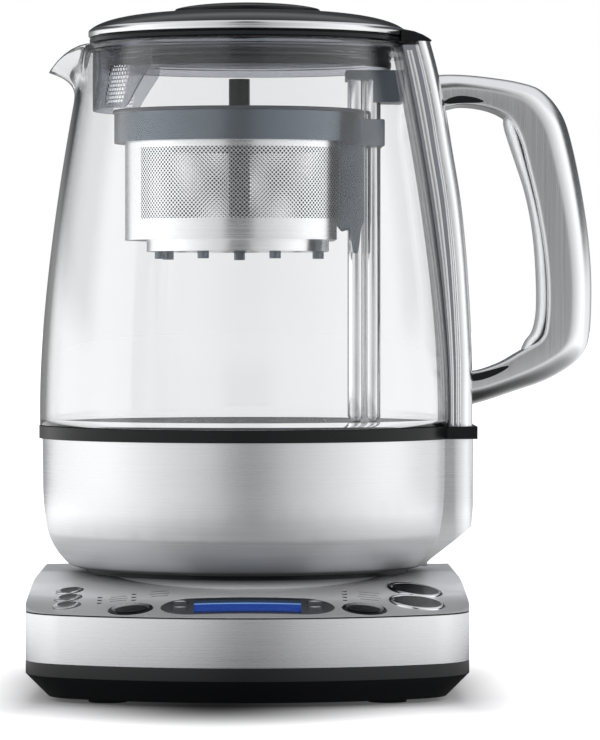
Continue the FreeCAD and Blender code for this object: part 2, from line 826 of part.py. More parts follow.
def deck_height(x, y):
    """Height of the sloping panel at a place in the plan."""
    away = f"sqrt(({x}) ^ 2 + (({y}) - deck_centre_y) ^ 2)"
    return f"(deck_top - ({away} - deck_flat_radius) * deck_fall)"


def tilted(name, piece, x, y):
    """Stands a piece on the panel at a place in the plan, square to the slope."""
    away_y = f"(({y}) - deck_centre_y)"
    away = f"sqrt(({x}) ^ 2 + {away_y} ^ 2)"
    place = f"create(<<vector>>; {x}; {y}; {deck_height(x, y)})"
    axis = f"create(<<vector>>; -{away_y} / {away}; ({x}) / {away}; 0)"
    turn = f"create(<<rotation>>; {axis}; atan(deck_fall))"
    holder = group(name, piece)
    holder.setExpression("Placement", bound(f"create(<<placement>>; {place}; {turn})"))
    return holder


BUTTONS = {
    "small_button_back": ("small_radius", "-small_x", "-(small_y_front - 2 * small_pitch)"),
    "small_button_mid": ("small_radius", "-small_x", "-(small_y_front - small_pitch)"),
    "small_button_front": ("small_radius", "-small_x", "-small_y_front"),
    "medium_button_left": ("medium_radius", "-medium_x", "-medium_y"),
    "medium_button_right": ("medium_radius", "medium_x", "-medium_y"),
    "large_button_back": ("large_radius", "large_x", "-large_y_back"),
    "large_button_front": ("large_radius", "large_x", "-large_y_front"),
}
RINGED = {
    "large_button_rings": ("large_button_back", "large_button_front"),
    "medium_button_rings": ("medium_button_left", "medium_button_right"),
}
KEYS = {
    "arrow_key_left_up": ("-key_x", "-key_y_up"),
    "arrow_key_left_down": ("-key_x", "-key_y_down"),
    "arrow_key_right_up": ("key_x", "-key_y_up"),
    "arrow_key_right_down": ("key_x", "-key_y_down"),
}
LAMP_ROWS = 3
LAMP_COLUMNS = [("-lamp_left_x", "lamp_left_y"), ("-lamp_mid_x", "lamp_left_y"),
                ("lamp_right_x", "lamp_right_y")]
LAMP_SPOTS = [(x, f"-({y} + {place} * lamp_pitch)") for x, y in LAMP_COLUMNS for place in range(LAMP_ROWS)]
LAMP_SPOTS.append(("lamp_right_x", f"-(lamp_right_y + {LAMP_ROWS} * lamp_pitch)"))


def local_rod(name, radius, low, high):
    shaft = doc.addObject("Part::Cylinder", name)
    bind(shaft, Radius=radius, Height=f"({high}) - ({low})", Placement__Base__z=low)
    return shaft


def slot_pad(name, half_long, half_wide, low, high):
    """The display's slot: its round ends are half turns, drawn as two quarter turns each."""
    straight = f"(({half_long}) - ({half_wide}))"
    front = f"-display_y - ({half_wide})"
    back = f"-display_y + ({half_wide})"
    return upright_pad(name, [
        (f"-{straight}", front), (straight, front, half_wide), (half_long, "-display_y", half_wide),
        (straight, back), (f"-{straight}", back, half_wide),
        (f"-({half_long})", "-display_y", half_wide)], low, high)


def make_deck():
    shell = cut("deck_shell", deck_solid("deck_outer", "0"), deck_solid("deck_inner", "deck_wall"))
    seat = rod("deck_seat", "seat_radius", ("deck_top - deck_wall", "seat_top"))
    under_seat = cone("deck_under_cone", ("base_bow", "deck_flat_radius"),
                      ("deck_top - deck_wall - deck_rise", "deck_top - deck_wall"), ("0", "deck_centre_y"))
    seat_wall = tube("deck_seat_wall", "seat_radius", "seat_radius - deck_wall",
                     ("seat_wall_low", "deck_top - deck_wall"))
    wall = cut("deck_seat_wall_above", seat_wall, under_seat)
    openings = [rod("deck_hub_hole", "hub_radius + panel_fit", ("deck_low", "seat_top + cut_past"))]
    openings.append(slot_pad("deck_display_hole", "display_half_long + panel_fit",
                             "display_half_wide + panel_fit", "deck_low", "deck_top"))
    ringed = [name for pair in RINGED.values() for name in pair]
    for name, (radius, x, y) in BUTTONS.items():
        around = f"{radius} + ring_wide" if name in ringed else radius
        hole = local_rod(f"{name}_hole", f"{around} + panel_fit", "-hole_deep", "hole_deep")
        openings.append(tilted(f"{name}_hole_placed", hole, x, y))
    openings += rods("lamp_hole", "lamp_radius + panel_fit / 2", ("deck_low", "deck_top"), LAMP_SPOTS)
    cover = cut("deck_cover", fuse("deck_whole", shell, seat, wall), *openings)
    above = cut("deck_above", plan_pad("deck_boss_limit", "deck_low", "deck_top + cut_past", "0"),
                deck_solid("deck_middle", "deck_wall / 2"))
    bosses = [cut(f"deck_boss_{number}", boss, above)
              for number, boss in enumerate(rods("deck_boss_rod", "boss_radius",
                                                 ("housing_floor_top", "deck_top"), SCREW_SPOTS), 1)]
    tip = "screw_seat + screw_long"
    holes = rods("deck_boss_hole", "screw_radius", ("foot_tall", tip), SCREW_SPOTS)
    node(cut("deck_bossed", fuse("deck_with_bosses", cover, *bosses), *holes), "base_deck")
    screws = rods("deck_screw", "screw_radius", ("screw_seat", tip), SCREW_SPOTS)
    heads = rods("deck_screw_head", "screw_head_radius", ("foot_tall", "screw_seat"), SCREW_SPOTS)
    node(fuse("deck_screws", *screws, *heads), "base_screws")


def window_block(name, low, high):
    return block(name, ("-window_half_long", "window_half_long"),
                 ("-display_y - window_half_wide", "-display_y + window_half_wide"), (low, high))


def key_block(name, x, y, room, low, high):
    half_long = f"(key_half_long + {room})"
    half_wide = f"(key_half_wide + {room})"
    return block(name, (f"{x} - {half_long}", f"{x} + {half_long}"),
                 (f"{y} - {half_wide}", f"{y} + {half_wide}"), (low, high))


def make_panel():
    slab = cut("bezel_slab", deck_solid("bezel_skin", "0"), deck_solid("bezel_under", "display_deep"))
    slot = slot_pad("bezel_slot", "display_half_long", "display_half_wide", "deck_low", "deck_top")
    window = window_block("bezel_window", "deck_low", "deck_top")
    keyholes = [key_block(f"{name}_hole", x, y, "panel_fit", "deck_low", "deck_top")
                for name, (x, y) in KEYS.items()]
    node(cut("bezel", common("bezel_lens", slab, slot), window, *keyholes), "display_bezel")
    pane = cut("pane_slab", deck_solid("pane_skin", "0"), deck_solid("pane_under", "window_thick"))
    node(common("pane", pane, window_block("pane_box", "deck_low", "deck_top")), "lcd_window")
    under_pane = deck_solid("module_form", "window_thick + glass_to_module")
    node(common("module", window_block("module_box", "board_top", "deck_top"), under_pane), "lcd_module")
    for name, (x, y) in KEYS.items():
        top = deck_height(x, y)
        node(key_block(f"{name}_cap", x, y, "0", f"{top} - key_deep", f"{top} + key_stand"), name)


def make_button(name, radius, x, y):
    """A dished cap on a flanged stem, and the sleeve on the board that guides the stem."""
    under_deck = "-(deck_wall + flange_gap)"
    flange_top = f"{under_deck} - deck_wall"
    flange_low = f"{flange_top} - flange_thick"
    cap = local_rod(f"{name}_cap", radius, flange_low, "button_stand")
    flange = local_rod(f"{name}_flange", f"{radius} + flange_over", flange_low, flange_top)
    stem_foot = f"stem_gap - ({deck_height(x, y)} - board_top) * cos(atan(deck_fall))"
    stem = local_rod(f"{name}_stem", "stem_radius", stem_foot, under_deck)
    dish_radius = f"(({radius}) ^ 2 / (2 * button_dish))"
    dish = doc.addObject("Part::Sphere", f"{name}_dish")
    bind(dish, Radius=dish_radius, Placement__Base__z=f"button_stand - button_dish + {dish_radius}")
    whole = cut(f"{name}_whole", fuse(f"{name}_solid", cap, flange, stem), dish)
    node(tilted(f"{name}_placed", whole, x, y), name)
    low = f"{stem_foot} - stem_gap - guide_root"
    high = f"{stem_foot} + guide_tall"
    outside = local_rod(f"{name}_sleeve_outside", "stem_radius + guide_wall", low, high)
    bore = local_rod(f"{name}_sleeve_bore", "stem_radius + stem_fit", low, high)
    return tilted(f"{name}_guide", cut(f"{name}_sleeve", outside, bore), x, y)


def make_ring(name, radius, x, y):
    outside = local_rod(f"{name}_ring_outside", f"{radius} + ring_wide", "-deck_wall", "ring_stand")
    bore = local_rod(f"{name}_ring_bore", f"{radius} + panel_fit", "-deck_wall", "ring_stand")
    return tilted(f"{name}_ring", cut(f"{name}_loop", outside, bore), x, y)


def make_buttons():
    guides = [make_button(name, *sizes) for name, sizes in BUTTONS.items()]
    under_board = block("guide_trim", ("-base_half_width", "base_half_width"),
                        ("-base_half_depth", "base_half_depth"), ("0", "board_top"))
    node(cut("guides", fuse("guides_whole", *guides), under_board), "button_guides")
    for label, names in RINGED.items():
        node(fuse(f"{label}_pair", *[make_ring(name, *BUTTONS[name]) for name in names]), label)
    lamps = [rod(f"lamp_{index}", "lamp_radius", ("board_top", f"{deck_height(*spot)} + lamp_stand"), spot)
             for index, spot in enumerate(LAMP_SPOTS)]
    node(fuse("lamps", *lamps), "indicator_lights")


# ---------------------------------------------------------------- power base: inside and inlet

def make_base_inside():
    board = block("board_plate", ("-board_half_long", "board_half_long"),
                  ("-board_front_y", "-board_back_y"), ("board_low", "board_top"))
    inside = plan_pad("board_room", "board_low", "board_top", "band_wall + board_room")
    notches = rods("board_notch", "boss_radius + boss_room", ("board_low", "board_top"), SCREW_SPOTS)
    node(cut("board", common("board_cut_to_room", board, inside), *notches), "control_board")
    stalk = rod("hub_stalk", "hub_radius", ("housing_floor_top", "hub_top"))
    recess = rod("hub_recess_form", "hub_bore", ("hub_top - hub_recess", "hub_top + cut_past"))
    hollow = rod("hub_hollow", "hub_bore", ("housing_floor_top", "deck_top - hub_recess"))
    flange = rod("hub_flange", "hub_flange_radius",
                 ("deck_top - deck_wall - hub_flange_thick", "deck_top - deck_wall"))
    node(cut("hub", fuse("hub_whole", stalk, flange), recess, hollow), "power_connector")
    pin_span = ("hub_top - hub_recess", "hub_top")
    ring = tube("pin_ring", "pin_ring_radius", "pin_ring_radius - pin_wall", pin_span)
    node(fuse("pins", ring, rod("pin_centre", "pin_radius", pin_span)), "connector_pins")
    supply = block("supply_box", ("-supply_long / 2", "supply_long / 2"),
                   ("supply_back_y - supply_wide", "supply_back_y"),
                   ("housing_floor_top", "housing_floor_top + supply_tall"))
    node(supply, "power_supply")


def make_gland():
    """A bush through the band's back wall, with a bore for a mains lead."""
    wide = "gland_radius + gland_collar"
    nut_front = "band_wall + gland_nut_gap"
    barrel = backward_rod("gland_barrel", "gland_radius", "-gland_deep", "gland_reach")
    collar = backward_rod("gland_collar", wide, "0", "gland_reach")
    nut = backward_rod("gland_nut", wide, f"-({nut_front}) - gland_nut_thick", f"-({nut_front})")
    bore = backward_rod("gland_hole", "gland_bore", "-gland_deep - cut_past", "gland_reach + cut_past")
    node(cut("gland", fuse("gland_whole", barrel, collar, nut), bore), "cord_gland")


# ---------------------------------------------------------------- jug: bowl, collar, floor

POST_SPOT = ("post_middle_x", "0")


def bowl_form(name, inset):
    """The bowl's outer form drawn in by inset: a turned bowl and a squared bulge at the handle."""
    thin = f"({inset})"
    belly = turned(f"{name}_round", [
        ("0", "bowl_low"), (f"foot_ring_radius - {thin}", "bowl_low", "bowl_foot_curve"),
        (f"foot_ring_radius + bowl_knee_out - {thin}", "bowl_low + bowl_knee_rise", "bowl_side_curve"),
        (f"foot_ring_radius + bowl_waist_out - {thin}", "bowl_low + bowl_waist_rise"),
        (f"bowl_top_radius - {thin}", "bowl_top"), ("0", "bowl_top")])
    foot_x = f"foot_ring_radius - bulge_foot_in - {thin}"
    bulge = side_pad(f"{name}_bulge", "XZ_Plane", [
        ("bulge_root_x", "bowl_low"), (foot_x, "bowl_low"), (foot_x, "bowl_low + bulge_low_rise"),
        (f"bulge_reach - bulge_knee_in - {thin}", "bowl_low + bulge_knee_rise"),
        (f"bulge_reach - {thin}", "bowl_low + bulge_side_rise"), (f"bulge_reach - {thin}", "bowl_top"),
        ("bulge_root_x", "bowl_top")], f"bulge_half_wide - {thin}")
    side_x = value(f"bulge_reach - {thin}") - CLOSE
    rounded(bulge, f"{name}_bulge_rounded",
            lambda edge: edge.BoundBox.XMin > side_x and edge.BoundBox.YLength < CLOSE, "bulge_corner")
    return fuse(name, belly, bulge)


def make_bowl():
    node(cut("bowl", bowl_form("bowl_outside", "0"), bowl_form("bowl_inside", "bowl_wall")), "bowl_shell")
    ring = turned("foot_ring_form", [
        ("0", "jug_bottom"), ("foot_ring_radius - foot_ring_edge", "jug_bottom"),
        ("foot_ring_radius", "jug_bottom + foot_ring_edge"), ("foot_ring_radius", "bowl_low"),
        ("0", "bowl_low")])
    hollow = rod("foot_ring_hollow", "foot_ring_radius - foot_ring_wall", ("foot_plate_top", "bowl_low"))
    hole = rod("foot_ring_hole", "socket_room", ("jug_bottom - cut_past", "bowl_low"))
    cradle = rod("cradle_outside", "motor_radius + cradle_wall",
                 ("foot_plate_top", "motor_low + cradle_grip"), POST_SPOT)
    cradle_seat = rod("cradle_seat", "motor_radius", ("motor_low", "motor_top"), POST_SPOT)
    cradle_bore = rod("cradle_bore", "motor_radius - cradle_wall", ("foot_plate_top", "motor_top"),
                      POST_SPOT)
    whole = fuse("foot_plate_whole", cut("foot_plate", ring, hollow, hole), cradle)
    node(cut("foot_plate_with_cradle", whole, cradle_seat, cradle_bore), "foot_ring")


def make_collar():
    round_part = rod("collar_round", "collar_radius", ("bowl_top", "collar_top"))
    half_wide = "bulge_half_wide + collar_over"
    square = block("collar_square", ("bulge_root_x", "bulge_reach + collar_over"),
                   (f"-({half_wide})", half_wide), ("bowl_top", "collar_top"))
    gasket_radius = "floor_radius + gasket_wide"
    bore = rod("collar_bore", f"{gasket_radius} - collar_ledge", ("bowl_top", "collar_top"))
    gasket_low = "floor_low - gasket_drop"
    ledge = rod("collar_ledge_form", gasket_radius, (gasket_low, "collar_top"))
    node(cut("collar", fuse("collar_whole", round_part, square), bore, ledge), "jug_collar")
    screw_hole = rod("floor_screw_hole", "thread_radius + thread_clear", ("floor_low", "floor_top"),
                     POST_SPOT)
    plate = rod("floor_plate", "floor_radius", ("floor_low", "floor_top"))
    node(cut("floor", plate, screw_hole), "heater_plate")
    gasket = rod("gasket_outside", gasket_radius, (gasket_low, "floor_top"))
    gasket_in = rod("gasket_inside", "floor_radius", ("floor_low", "floor_top"))
    gasket_hole = rod("gasket_hole", "floor_radius - gasket_lip", (gasket_low, "floor_low"))
    node(cut("gasket", gasket, gasket_in, gasket_hole), "plate_gasket")
    coil = doc.addObject("Part::Torus", "element_coil")
    bind(coil, Radius1="element_radius", Radius2="element_tube",
         Placement__Base__z="floor_low - element_tube - element_gap")
    node(coil, "heating_element")
    sensor = rod("sensor", "sensor_radius", ("floor_low - sensor_tall", "floor_low"), ("-sensor_x", "0"))
    node(sensor, "temperature_sensor")
    shell = rod("socket_shell", "socket_room + socket_wall", ("foot_plate_top", "socket_top"))
    pillar = rod("socket_pillar_form", "socket_pillar", ("socket_top", "floor_low"))
    room = rod("socket_room_form", "socket_room", ("foot_plate_top", "socket_top - socket_roof"))
    node(cut("socket", fuse("socket_whole", shell, pillar), room), "jug_connector")


# ---------------------------------------------------------------- jug: glass

# how much of a spout section's half width its keel curve keeps near the bottom
SPOUT_CHEEK = 0.7


def glass_section(name, inset):
    """The jug's turned wall form drawn in by inset."""
    thin = f"({inset})"
    return turned(name, [
        ("0", "collar_top"), (f"glass_bottom_radius - {thin}", "collar_top"),
        (f"glass_bottom_radius - {thin}", "collar_top + glass_straight", "glass_curve"),
        (f"glass_bottom_radius - glass_belly_in - {thin}", "glass_belly_z"),
        (f"glass_rim_radius - {thin}", "glass_rim"), ("0", "glass_rim")])


def spout_section(x, half_wide, low, high):
    """Closed section across the spout: two bows that meet at a keel, under a straight top."""
    keel = FreeCAD.Vector(-x, 0, low)
    corners = [FreeCAD.Vector(-x, side * half_wide, high) for side in (-1, 1)]
    edges = [Part.LineSegment(*corners).toShape()]
    for corner in corners:
        bow = Part.BezierCurve()
        bow.setPoles([keel, FreeCAD.Vector(-x, SPOUT_CHEEK * corner.y, low), corner])
        edges.append(bow.toShape())
    return Part.Wire(Part.__sortEdges__(edges))


def spout_form(name, wall, past):
    """A pouring lip that leans out, drawn in by wall and run past its tip."""
    thin = value(wall)
    rim = value("glass_rim")
    keel_root = rim - value("spout_drop") + thin
    keel_tip = rim - value("spout_tip_drop") + thin
    keel_waist = (keel_root + keel_tip) / 2 + value("spout_waist_lift")
    sections = [
        spout_section(value("glass_rim_radius - spout_root_in"), value("spout_half_wide") - thin,
                      keel_root, rim),
        spout_section(value("glass_rim_radius + spout_waist_out"), value("spout_waist_wide") - thin,
                      keel_waist, rim - value("spout_waist_drop")),
        spout_section(value("glass_rim_radius + spout_out") + value(past), value("spout_tip_wide") - thin,
                      keel_tip, rim - value("spout_lip_drop"))]
    lip = doc.addObject("Part::Feature", name)
    lip.Shape = Part.makeLoft(sections, True, True)
    return lip


def make_glass():
    outside = fuse("glass_with_spout", glass_section("glass_outside", "0"),
                   spout_form("spout_outside", "0", "0"))
    channel = spout_form("spout_channel", "channel_wall", "channel_past")
    node(cut("glass", outside, glass_section("glass_inside", "glass_wall"), channel), "glass_jug")


# ---------------------------------------------------------------- jug: lift post and drive

def post_form(name, inset, low, high):
    thin = f"({inset})"
    near = f"post_x + {thin}"
    far = f"post_back_x - {thin}"
    side = f"(post_half_wide - {thin})"
    return upright_pad(name, [(near, f"-{side}"), (far, f"-{side}"), (far, side), (near, side)], low, high)


def round_post(name, low, high):
    """The post's outside, its upright edges rounded."""
    return rounded(post_form(name, "0", low, high), f"{name}_rounded",
                   lambda edge: edge.BoundBox.XLength + edge.BoundBox.YLength < CLOSE, "post_corner")


def make_lift():
    hollow = post_form("post_inside", "post_wall", "floor_top", "post_top - post_cap")
    node(cut("post_shell", round_post("post_outside", "floor_top", "post_top"), hollow), "lift_post")
    bracket_low = "bracket_top - bracket_outer_tall"
    bracket = block("bracket_block", ("post_x - bracket_lap", "post_back_x + bracket_out"),
                    ("-bracket_half_wide", "bracket_half_wide"), (bracket_low, "bracket_top"))
    step_half = "bracket_half_wide + cut_past"
    step = block("bracket_step", ("post_x - bracket_lap - cut_past", "post_back_x - bracket_step_in"),
                 (f"-({step_half})", step_half),
                 (f"{bracket_low} - cut_past", "bracket_top - bracket_inner_tall"))
    hole = round_post("bracket_hole", f"{bracket_low} - cut_past", "post_top")
    node(cut("bracket", bracket, step, hole), "post_bracket")
    node(rod("motor_can", "motor_radius", ("motor_low", "motor_top"), POST_SPOT), "lift_motor")
    coupler_top = "motor_top + coupler_tall"
    coupler = rod("screw_coupler", "coupler_radius", ("motor_top + coupler_gap", coupler_top), POST_SPOT)
    thread = rod("screw_rod", "thread_radius", (coupler_top, "thread_top"), POST_SPOT)
    node(fuse("screw", coupler, thread), "lift_screw")
    carriage_top = "ring_low + carriage_lift"
    carriage = post_form("carriage_form", "post_wall + carriage_fit", f"{carriage_top} - carriage_tall",
                         carriage_top)
    bore = rod("carriage_bore", "thread_radius + thread_fit",
               (f"{carriage_top} - carriage_tall", carriage_top), POST_SPOT)
    node(cut("carriage", carriage, bore), "magnet_carriage")


# ---------------------------------------------------------------- jug: handle side

def column_form(name, inset, half_wide):
    thin = f"({inset})"
    return side_pad(name, "XZ_Plane", [
        ("glass_bottom_radius - column_deep", "collar_top"), (f"column_foot_x - {thin}", "collar_top"),
        (f"column_foot_x - {thin}", "collar_top + column_low_rise"),
        (f"column_mid_x - {thin}", "collar_top + column_mid_rise"),
        (f"column_top_x - {thin}", "glass_rim"), ("glass_rim_radius - column_deep", "glass_rim")],
        half_wide)


def make_column():
    core = column_form("column_core_form", "cover_wall", "column_half_wide")
    node(cut("liner", core, glass_section("liner_jug_form", "-glass_bond")), "column_liner")
    hollow = column_form("cover_hollow", "cover_wall", "column_half_wide + cut_past")
    whole = column_form("column_cover_form", "0", "cover_half_wide")
    node(cut("cover", whole, glass_section("cover_jug_form", "-glass_bond"), hollow), "handle_column")
    cap_top = "cap_low_z + cap_tall"
    cap = side_pad("cap_form", "XZ_Plane", [
        ("lid_radius + cap_in", "cap_low_z"), ("column_top_x", "cap_low_z"),
        ("column_top_x - cap_slope", f"{cap_top} - cap_step"),
        ("lid_radius + cap_in", f"{cap_top} - cap_in")], "cover_half_wide")
    node(cap, "column_cap")


def make_handle():
    loop = side_pad("handle_form", "XZ_Plane", [
        ("column_top_x", "handle_top_z"),
        ("handle_reach - handle_shoulder_in", "glass_rim - handle_shoulder_drop", "-handle_bend_curve"),
        ("handle_bend_x", "glass_rim - handle_bend_drop", "-handle_back_curve"),
        ("handle_reach", "collar_top + handle_waist_rise", "-handle_heel_curve"),
        ("handle_bend_x", "collar_top + handle_heel_rise"),
        ("handle_root_x", "handle_low_z - handle_low_slope"),
        ("handle_root_x", "handle_low_z - handle_low_slope + handle_low_arm"),
        ("grip_toe_x - handle_toe_in", "grip_toe_z - handle_toe_drop"),
        ("grip_toe_x", "grip_toe_z", "grip_toe_curve"), ("grip_low_x", "grip_low_z", "grip_back_curve"),
        ("grip_top_x", "grip_top_z"),
        ("grip_top_x - handle_crook_in", "handle_top_z - handle_arm - handle_crook_drop"),
        ("column_top_x", "handle_top_z - handle_arm")], "handle_half_wide")
    side = value("handle_half_wide")
    far = value("handle_bend_x") - CLOSE
    high = value("handle_top_z") - CLOSE

    def on_outer_rim(edge):
        room = edge.BoundBox
        on_side = room.YLength < CLOSE and abs(abs(room.YMin) - side) < CLOSE
        return on_side and room.XLength > 1 and (room.XMax > far or room.ZMax > high)

    rounded(loop, "handle_rounded", on_outer_rim, "handle_edge", "PartDesign::Chamfer")
    room = column_form("handle_column_room", "0", "cover_half_wide + cut_past")
    node(cut("handle", loop, room), "handle_shell")
    node(side_pad("grip_form", "XZ_Plane", [
        ("grip_top_x", "grip_top_z", "-grip_back_curve"), ("grip_low_x", "grip_low_z", "-grip_toe_curve"),
        ("grip_toe_x", "grip_toe_z"), ("grip_toe_x - grip_thick", "grip_toe_z - grip_tip"),
        ("grip_toe_x - grip_toe_in", "grip_toe_z + 2 * grip_tip", "grip_toe_curve"),
        ("grip_low_x - grip_thick", "grip_low_z + grip_tip", "grip_back_curve"),
        ("grip_top_x - grip_thick", "grip_top_z - 2 * grip_tip"),
        ("grip_top_x - grip_thick - grip_tip", "grip_top_z + grip_tip")], "grip_half_wide"), "handle_grip")


# ---------------------------------------------------------------- lid

SKIRT_RIDGES = 3


def make_lid():
    shoulder = "lid_edge + lid_dome_step"
    crown = "lid_dome - lid_crown_drop"
    inner = "lid_radius - lid_wall"
    node(turned("lid_form", [
        ("lid_radius", "lid_low"), ("lid_radius", "lid_edge - lid_edge_round"),
        ("lid_radius - lid_edge_round", "lid_edge + lid_edge_rise"),
        ("lid_radius - lid_dome_round", shoulder), ("lid_crown_radius", crown), ("0", "lid_dome"),
        ("0", "lid_dome - lid_wall"), ("lid_crown_radius", f"{crown} - lid_wall"),
        (f"{inner} - lid_inner_top", f"{shoulder} - lid_wall"), (f"{inner} - lid_inner_low", "lid_low")]),
        "lid_cover")
    trim_low = "lid_low + trim_rise"
    node(turned("trim_form", [
        ("lid_radius", trim_low), ("lid_radius + trim_stand", trim_low),
        ("lid_radius + trim_stand", f"{trim_low} + trim_tall"),
        ("lid_radius", f"{trim_low} + trim_tall")]), "lid_trim")
    node(turned("knob_form", [
        ("0", "lid_dome"), ("knob_radius - knob_foot_in", "lid_dome"),
        ("knob_radius", "lid_dome + knob_edge_low"),
        ("knob_radius - knob_edge_in", "lid_dome + knob_edge_high"),
        ("knob_radius - knob_crown_in", "knob_top - knob_crown_drop"), ("0", "knob_top")]), "lid_knob")
    seal_top = "seal_low + seal_thick"
    node(turned("seal_form", [
        ("skirt_radius", "seal_low"), ("seal_radius - seal_edge", "seal_low"),
        ("seal_radius", "seal_low + seal_edge"), ("seal_radius - seal_edge", seal_top),
        ("skirt_radius", seal_top)]), "lid_seal")


def make_lid_skirt():
    """The ridged wall under the lid, with the filter flap that hangs in front of the spout."""
    wall = tube("skirt_wall_form", "skirt_radius", "skirt_radius - skirt_wall",
                ("skirt_low", "lid_low + skirt_up"))
    ridges = []
    for place in range(SKIRT_RIDGES):
        low = f"seal_low - skirt_ridge_tall - {place} * skirt_ridge_pitch"
        ridges.append(tube(f"skirt_ridge_{place}", "skirt_radius + skirt_ridge", "skirt_radius",
                           (low, f"{low} + skirt_ridge_tall")))
    hanging = tube("flap_wall_form", "flap_radius", "flap_radius - flap_wall", ("flap_low", "seal_low"))
    shelf = tube("flap_shelf_form", "flap_radius", "skirt_radius", ("seal_low - flap_wall", "seal_low"))
    far = "(flap_radius * sqrt(2))"
    zone = upright_pad("flap_zone", [
        ("0", "0"), (f"-{far}", f"{far} * tan(flap_half_angle)"),
        (f"-{far}", f"-{far} * tan(flap_half_angle)")], "flap_low", "seal_low")
    flap = common("flap", fuse("flap_form", hanging, shelf), zone)
    node(fuse("skirt", wall, flap, *ridges), "lid_skirt")


# ---------------------------------------------------------------- basket

AT_BASKET = ("basket_x", "0")
BASKET_FOOT_ANGLES = (90, 150, 200, 245, 295, 340)


def flat_side(name, piece, x_limit):
    """Takes away what lies beyond the flat side that faces the post."""
    wide = "ring_radius + cut_past"
    beyond = block(f"{name}_beyond", (x_limit, f"basket_x + {wide}"), (f"-({wide})", wide),
                   ("basket_foot_low - cut_past", "tea_stem_top + cut_past"))
    return cut(name, piece, beyond)


def make_basket():
    ledge = "ring_low + basket_ring_ledge"
    ring = rod("basket_ring_form", "ring_radius", ("ring_low", "ring_top"), AT_BASKET)
    well = rod("basket_ring_well", "ring_radius - basket_ring_wall", (ledge, "ring_top"), AT_BASKET)
    mouth = rod("basket_ring_mouth", "basket_radius - basket_mouth_in", ("ring_low", ledge), AT_BASKET)
    hollow = flat_side("basket_ring_hollow", fuse("basket_ring_hollow_round", well, mouth),
                       "basket_flat_x - basket_ring_flat_wall")
    room = block("basket_ring_post_room", ("rider_x", "basket_x + ring_radius + cut_past"),
                 ("-rider_half_wide", "rider_half_wide"), ("ring_low - cut_past", "ring_top + cut_past"))
    node(cut("basket_ring", ring, hollow, room), "basket_collar")
    wall_span = ("basket_low", "ring_low")
    outside = flat_side("mesh_outside", rod("mesh_round", "basket_radius", wall_span, AT_BASKET),
                        "basket_flat_x")
    bore = rod("mesh_bore", "basket_radius - basket_wall", wall_span, AT_BASKET)
    inside = flat_side("mesh_inside", bore, "basket_flat_x - basket_wall")
    node(cut("mesh", outside, inside), "basket_wall")
    dish = rod("base_dish", "basket_radius", ("base_plate_low", "basket_low"), AT_BASKET)
    rim = tube("base_rim", "basket_base_radius", "basket_base_radius - basket_wall",
               ("basket_base_low", "base_plate_low"), AT_BASKET)
    node(fuse("base", flat_side("base_dish_flat", dish, "basket_flat_x"),
              flat_side("base_rim_flat", rim, "basket_flat_x - basket_base_flat_in")), "basket_base")
    away = "(basket_base_radius - basket_foot_in)"
    spots = [(f"basket_x + {away} * cos({angle})", f"{away} * sin({angle})") for angle in BASKET_FOOT_ANGLES]
    feet = rods("basket_foot", "basket_foot_radius", ("basket_foot_low", "base_plate_low"), spots)
    node(fuse("basket_feet_set", *feet), "basket_feet")


def make_rider():
    """The bracket that rides on the post, with a clip that reaches round behind it."""
    sides = ("-rider_half_wide", "rider_half_wide")
    rider = block("rider_block", ("rider_x", "rider_back_x"), sides, ("rider_low", "ring_top"))
    clip = block("rider_clip", ("rider_back_x - rider_lap", "clip_back_x"), sides,
                 ("ring_low - clip_drop", "ring_top - clip_top_drop"))
    room = post_form("rider_room", "-rider_fit", "rider_low - cut_past", "ring_top + cut_past")
    mesh_room = rod("rider_mesh_room", "basket_radius + rider_bond", ("rider_low - cut_past", "ring_low"),
                    AT_BASKET)
    mesh_flat = flat_side("rider_mesh_flat", mesh_room, "basket_flat_x + rider_bond")
    node(cut("rider", fuse("rider_whole", rider, clip), room, mesh_flat), "basket_bracket")


def make_basket_lid():
    disc = rod("tea_lid_disc", "tea_lid_radius", ("tea_lid_low", "tea_lid_top"), AT_BASKET)
    skirt = tube("tea_lid_skirt", "tea_lid_radius", "tea_lid_radius - tea_lid_wall",
                 ("ring_low + basket_ring_ledge + tea_lid_gap", "tea_lid_low"), AT_BASKET)
    bore = rod("tea_lid_bore", "tea_stem_radius", ("tea_lid_low", "tea_lid_top"), AT_BASKET)
    flat = flat_side("tea_lid_flat", fuse("tea_lid", disc, skirt), "basket_flat_x - tea_lid_flat_in")
    node(cut("tea_lid_bored", flat, bore), "basket_lid")
    node(rod("tea_stem", "tea_stem_radius", ("tea_stem_low", "tea_stem_top"), AT_BASKET), "basket_stem")


make_base_shells()
make_deck()
make_panel()
make_buttons()
make_base_inside()
make_gland()
make_bowl()
make_collar()
make_glass()
make_lift()
make_column()
make_handle()
make_lid()
make_lid_skirt()
make_basket()
make_rider()
make_basket_lid()

doc.recompute()
faults = [item.Name for item in doc.Objects if "Invalid" in item.State or "Error" in item.State]
faults += [piece.Label for piece in NODES if piece.Shape.isNull() or not piece.Shape.isValid()]
if faults:
    raise RuntimeError("failed: " + ", ".join(faults))
os.makedirs("parts", exist_ok=True)
for piece in NODES:
    piece.Shape.exportStep(f"parts/{piece.Label}.step")
    print(piece.Label, len(piece.Shape.Solids), round(piece.Shape.Volume, 1))
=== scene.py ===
"""Looks of an automatic tea maker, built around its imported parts. Lengths in metres."""

import json
import math
from contextlib import contextmanager

import bmesh
import bpy
from bpy.props import FloatProperty, FloatVectorProperty, PointerProperty
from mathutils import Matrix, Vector
from mathutils.bvhtree import BVHTree

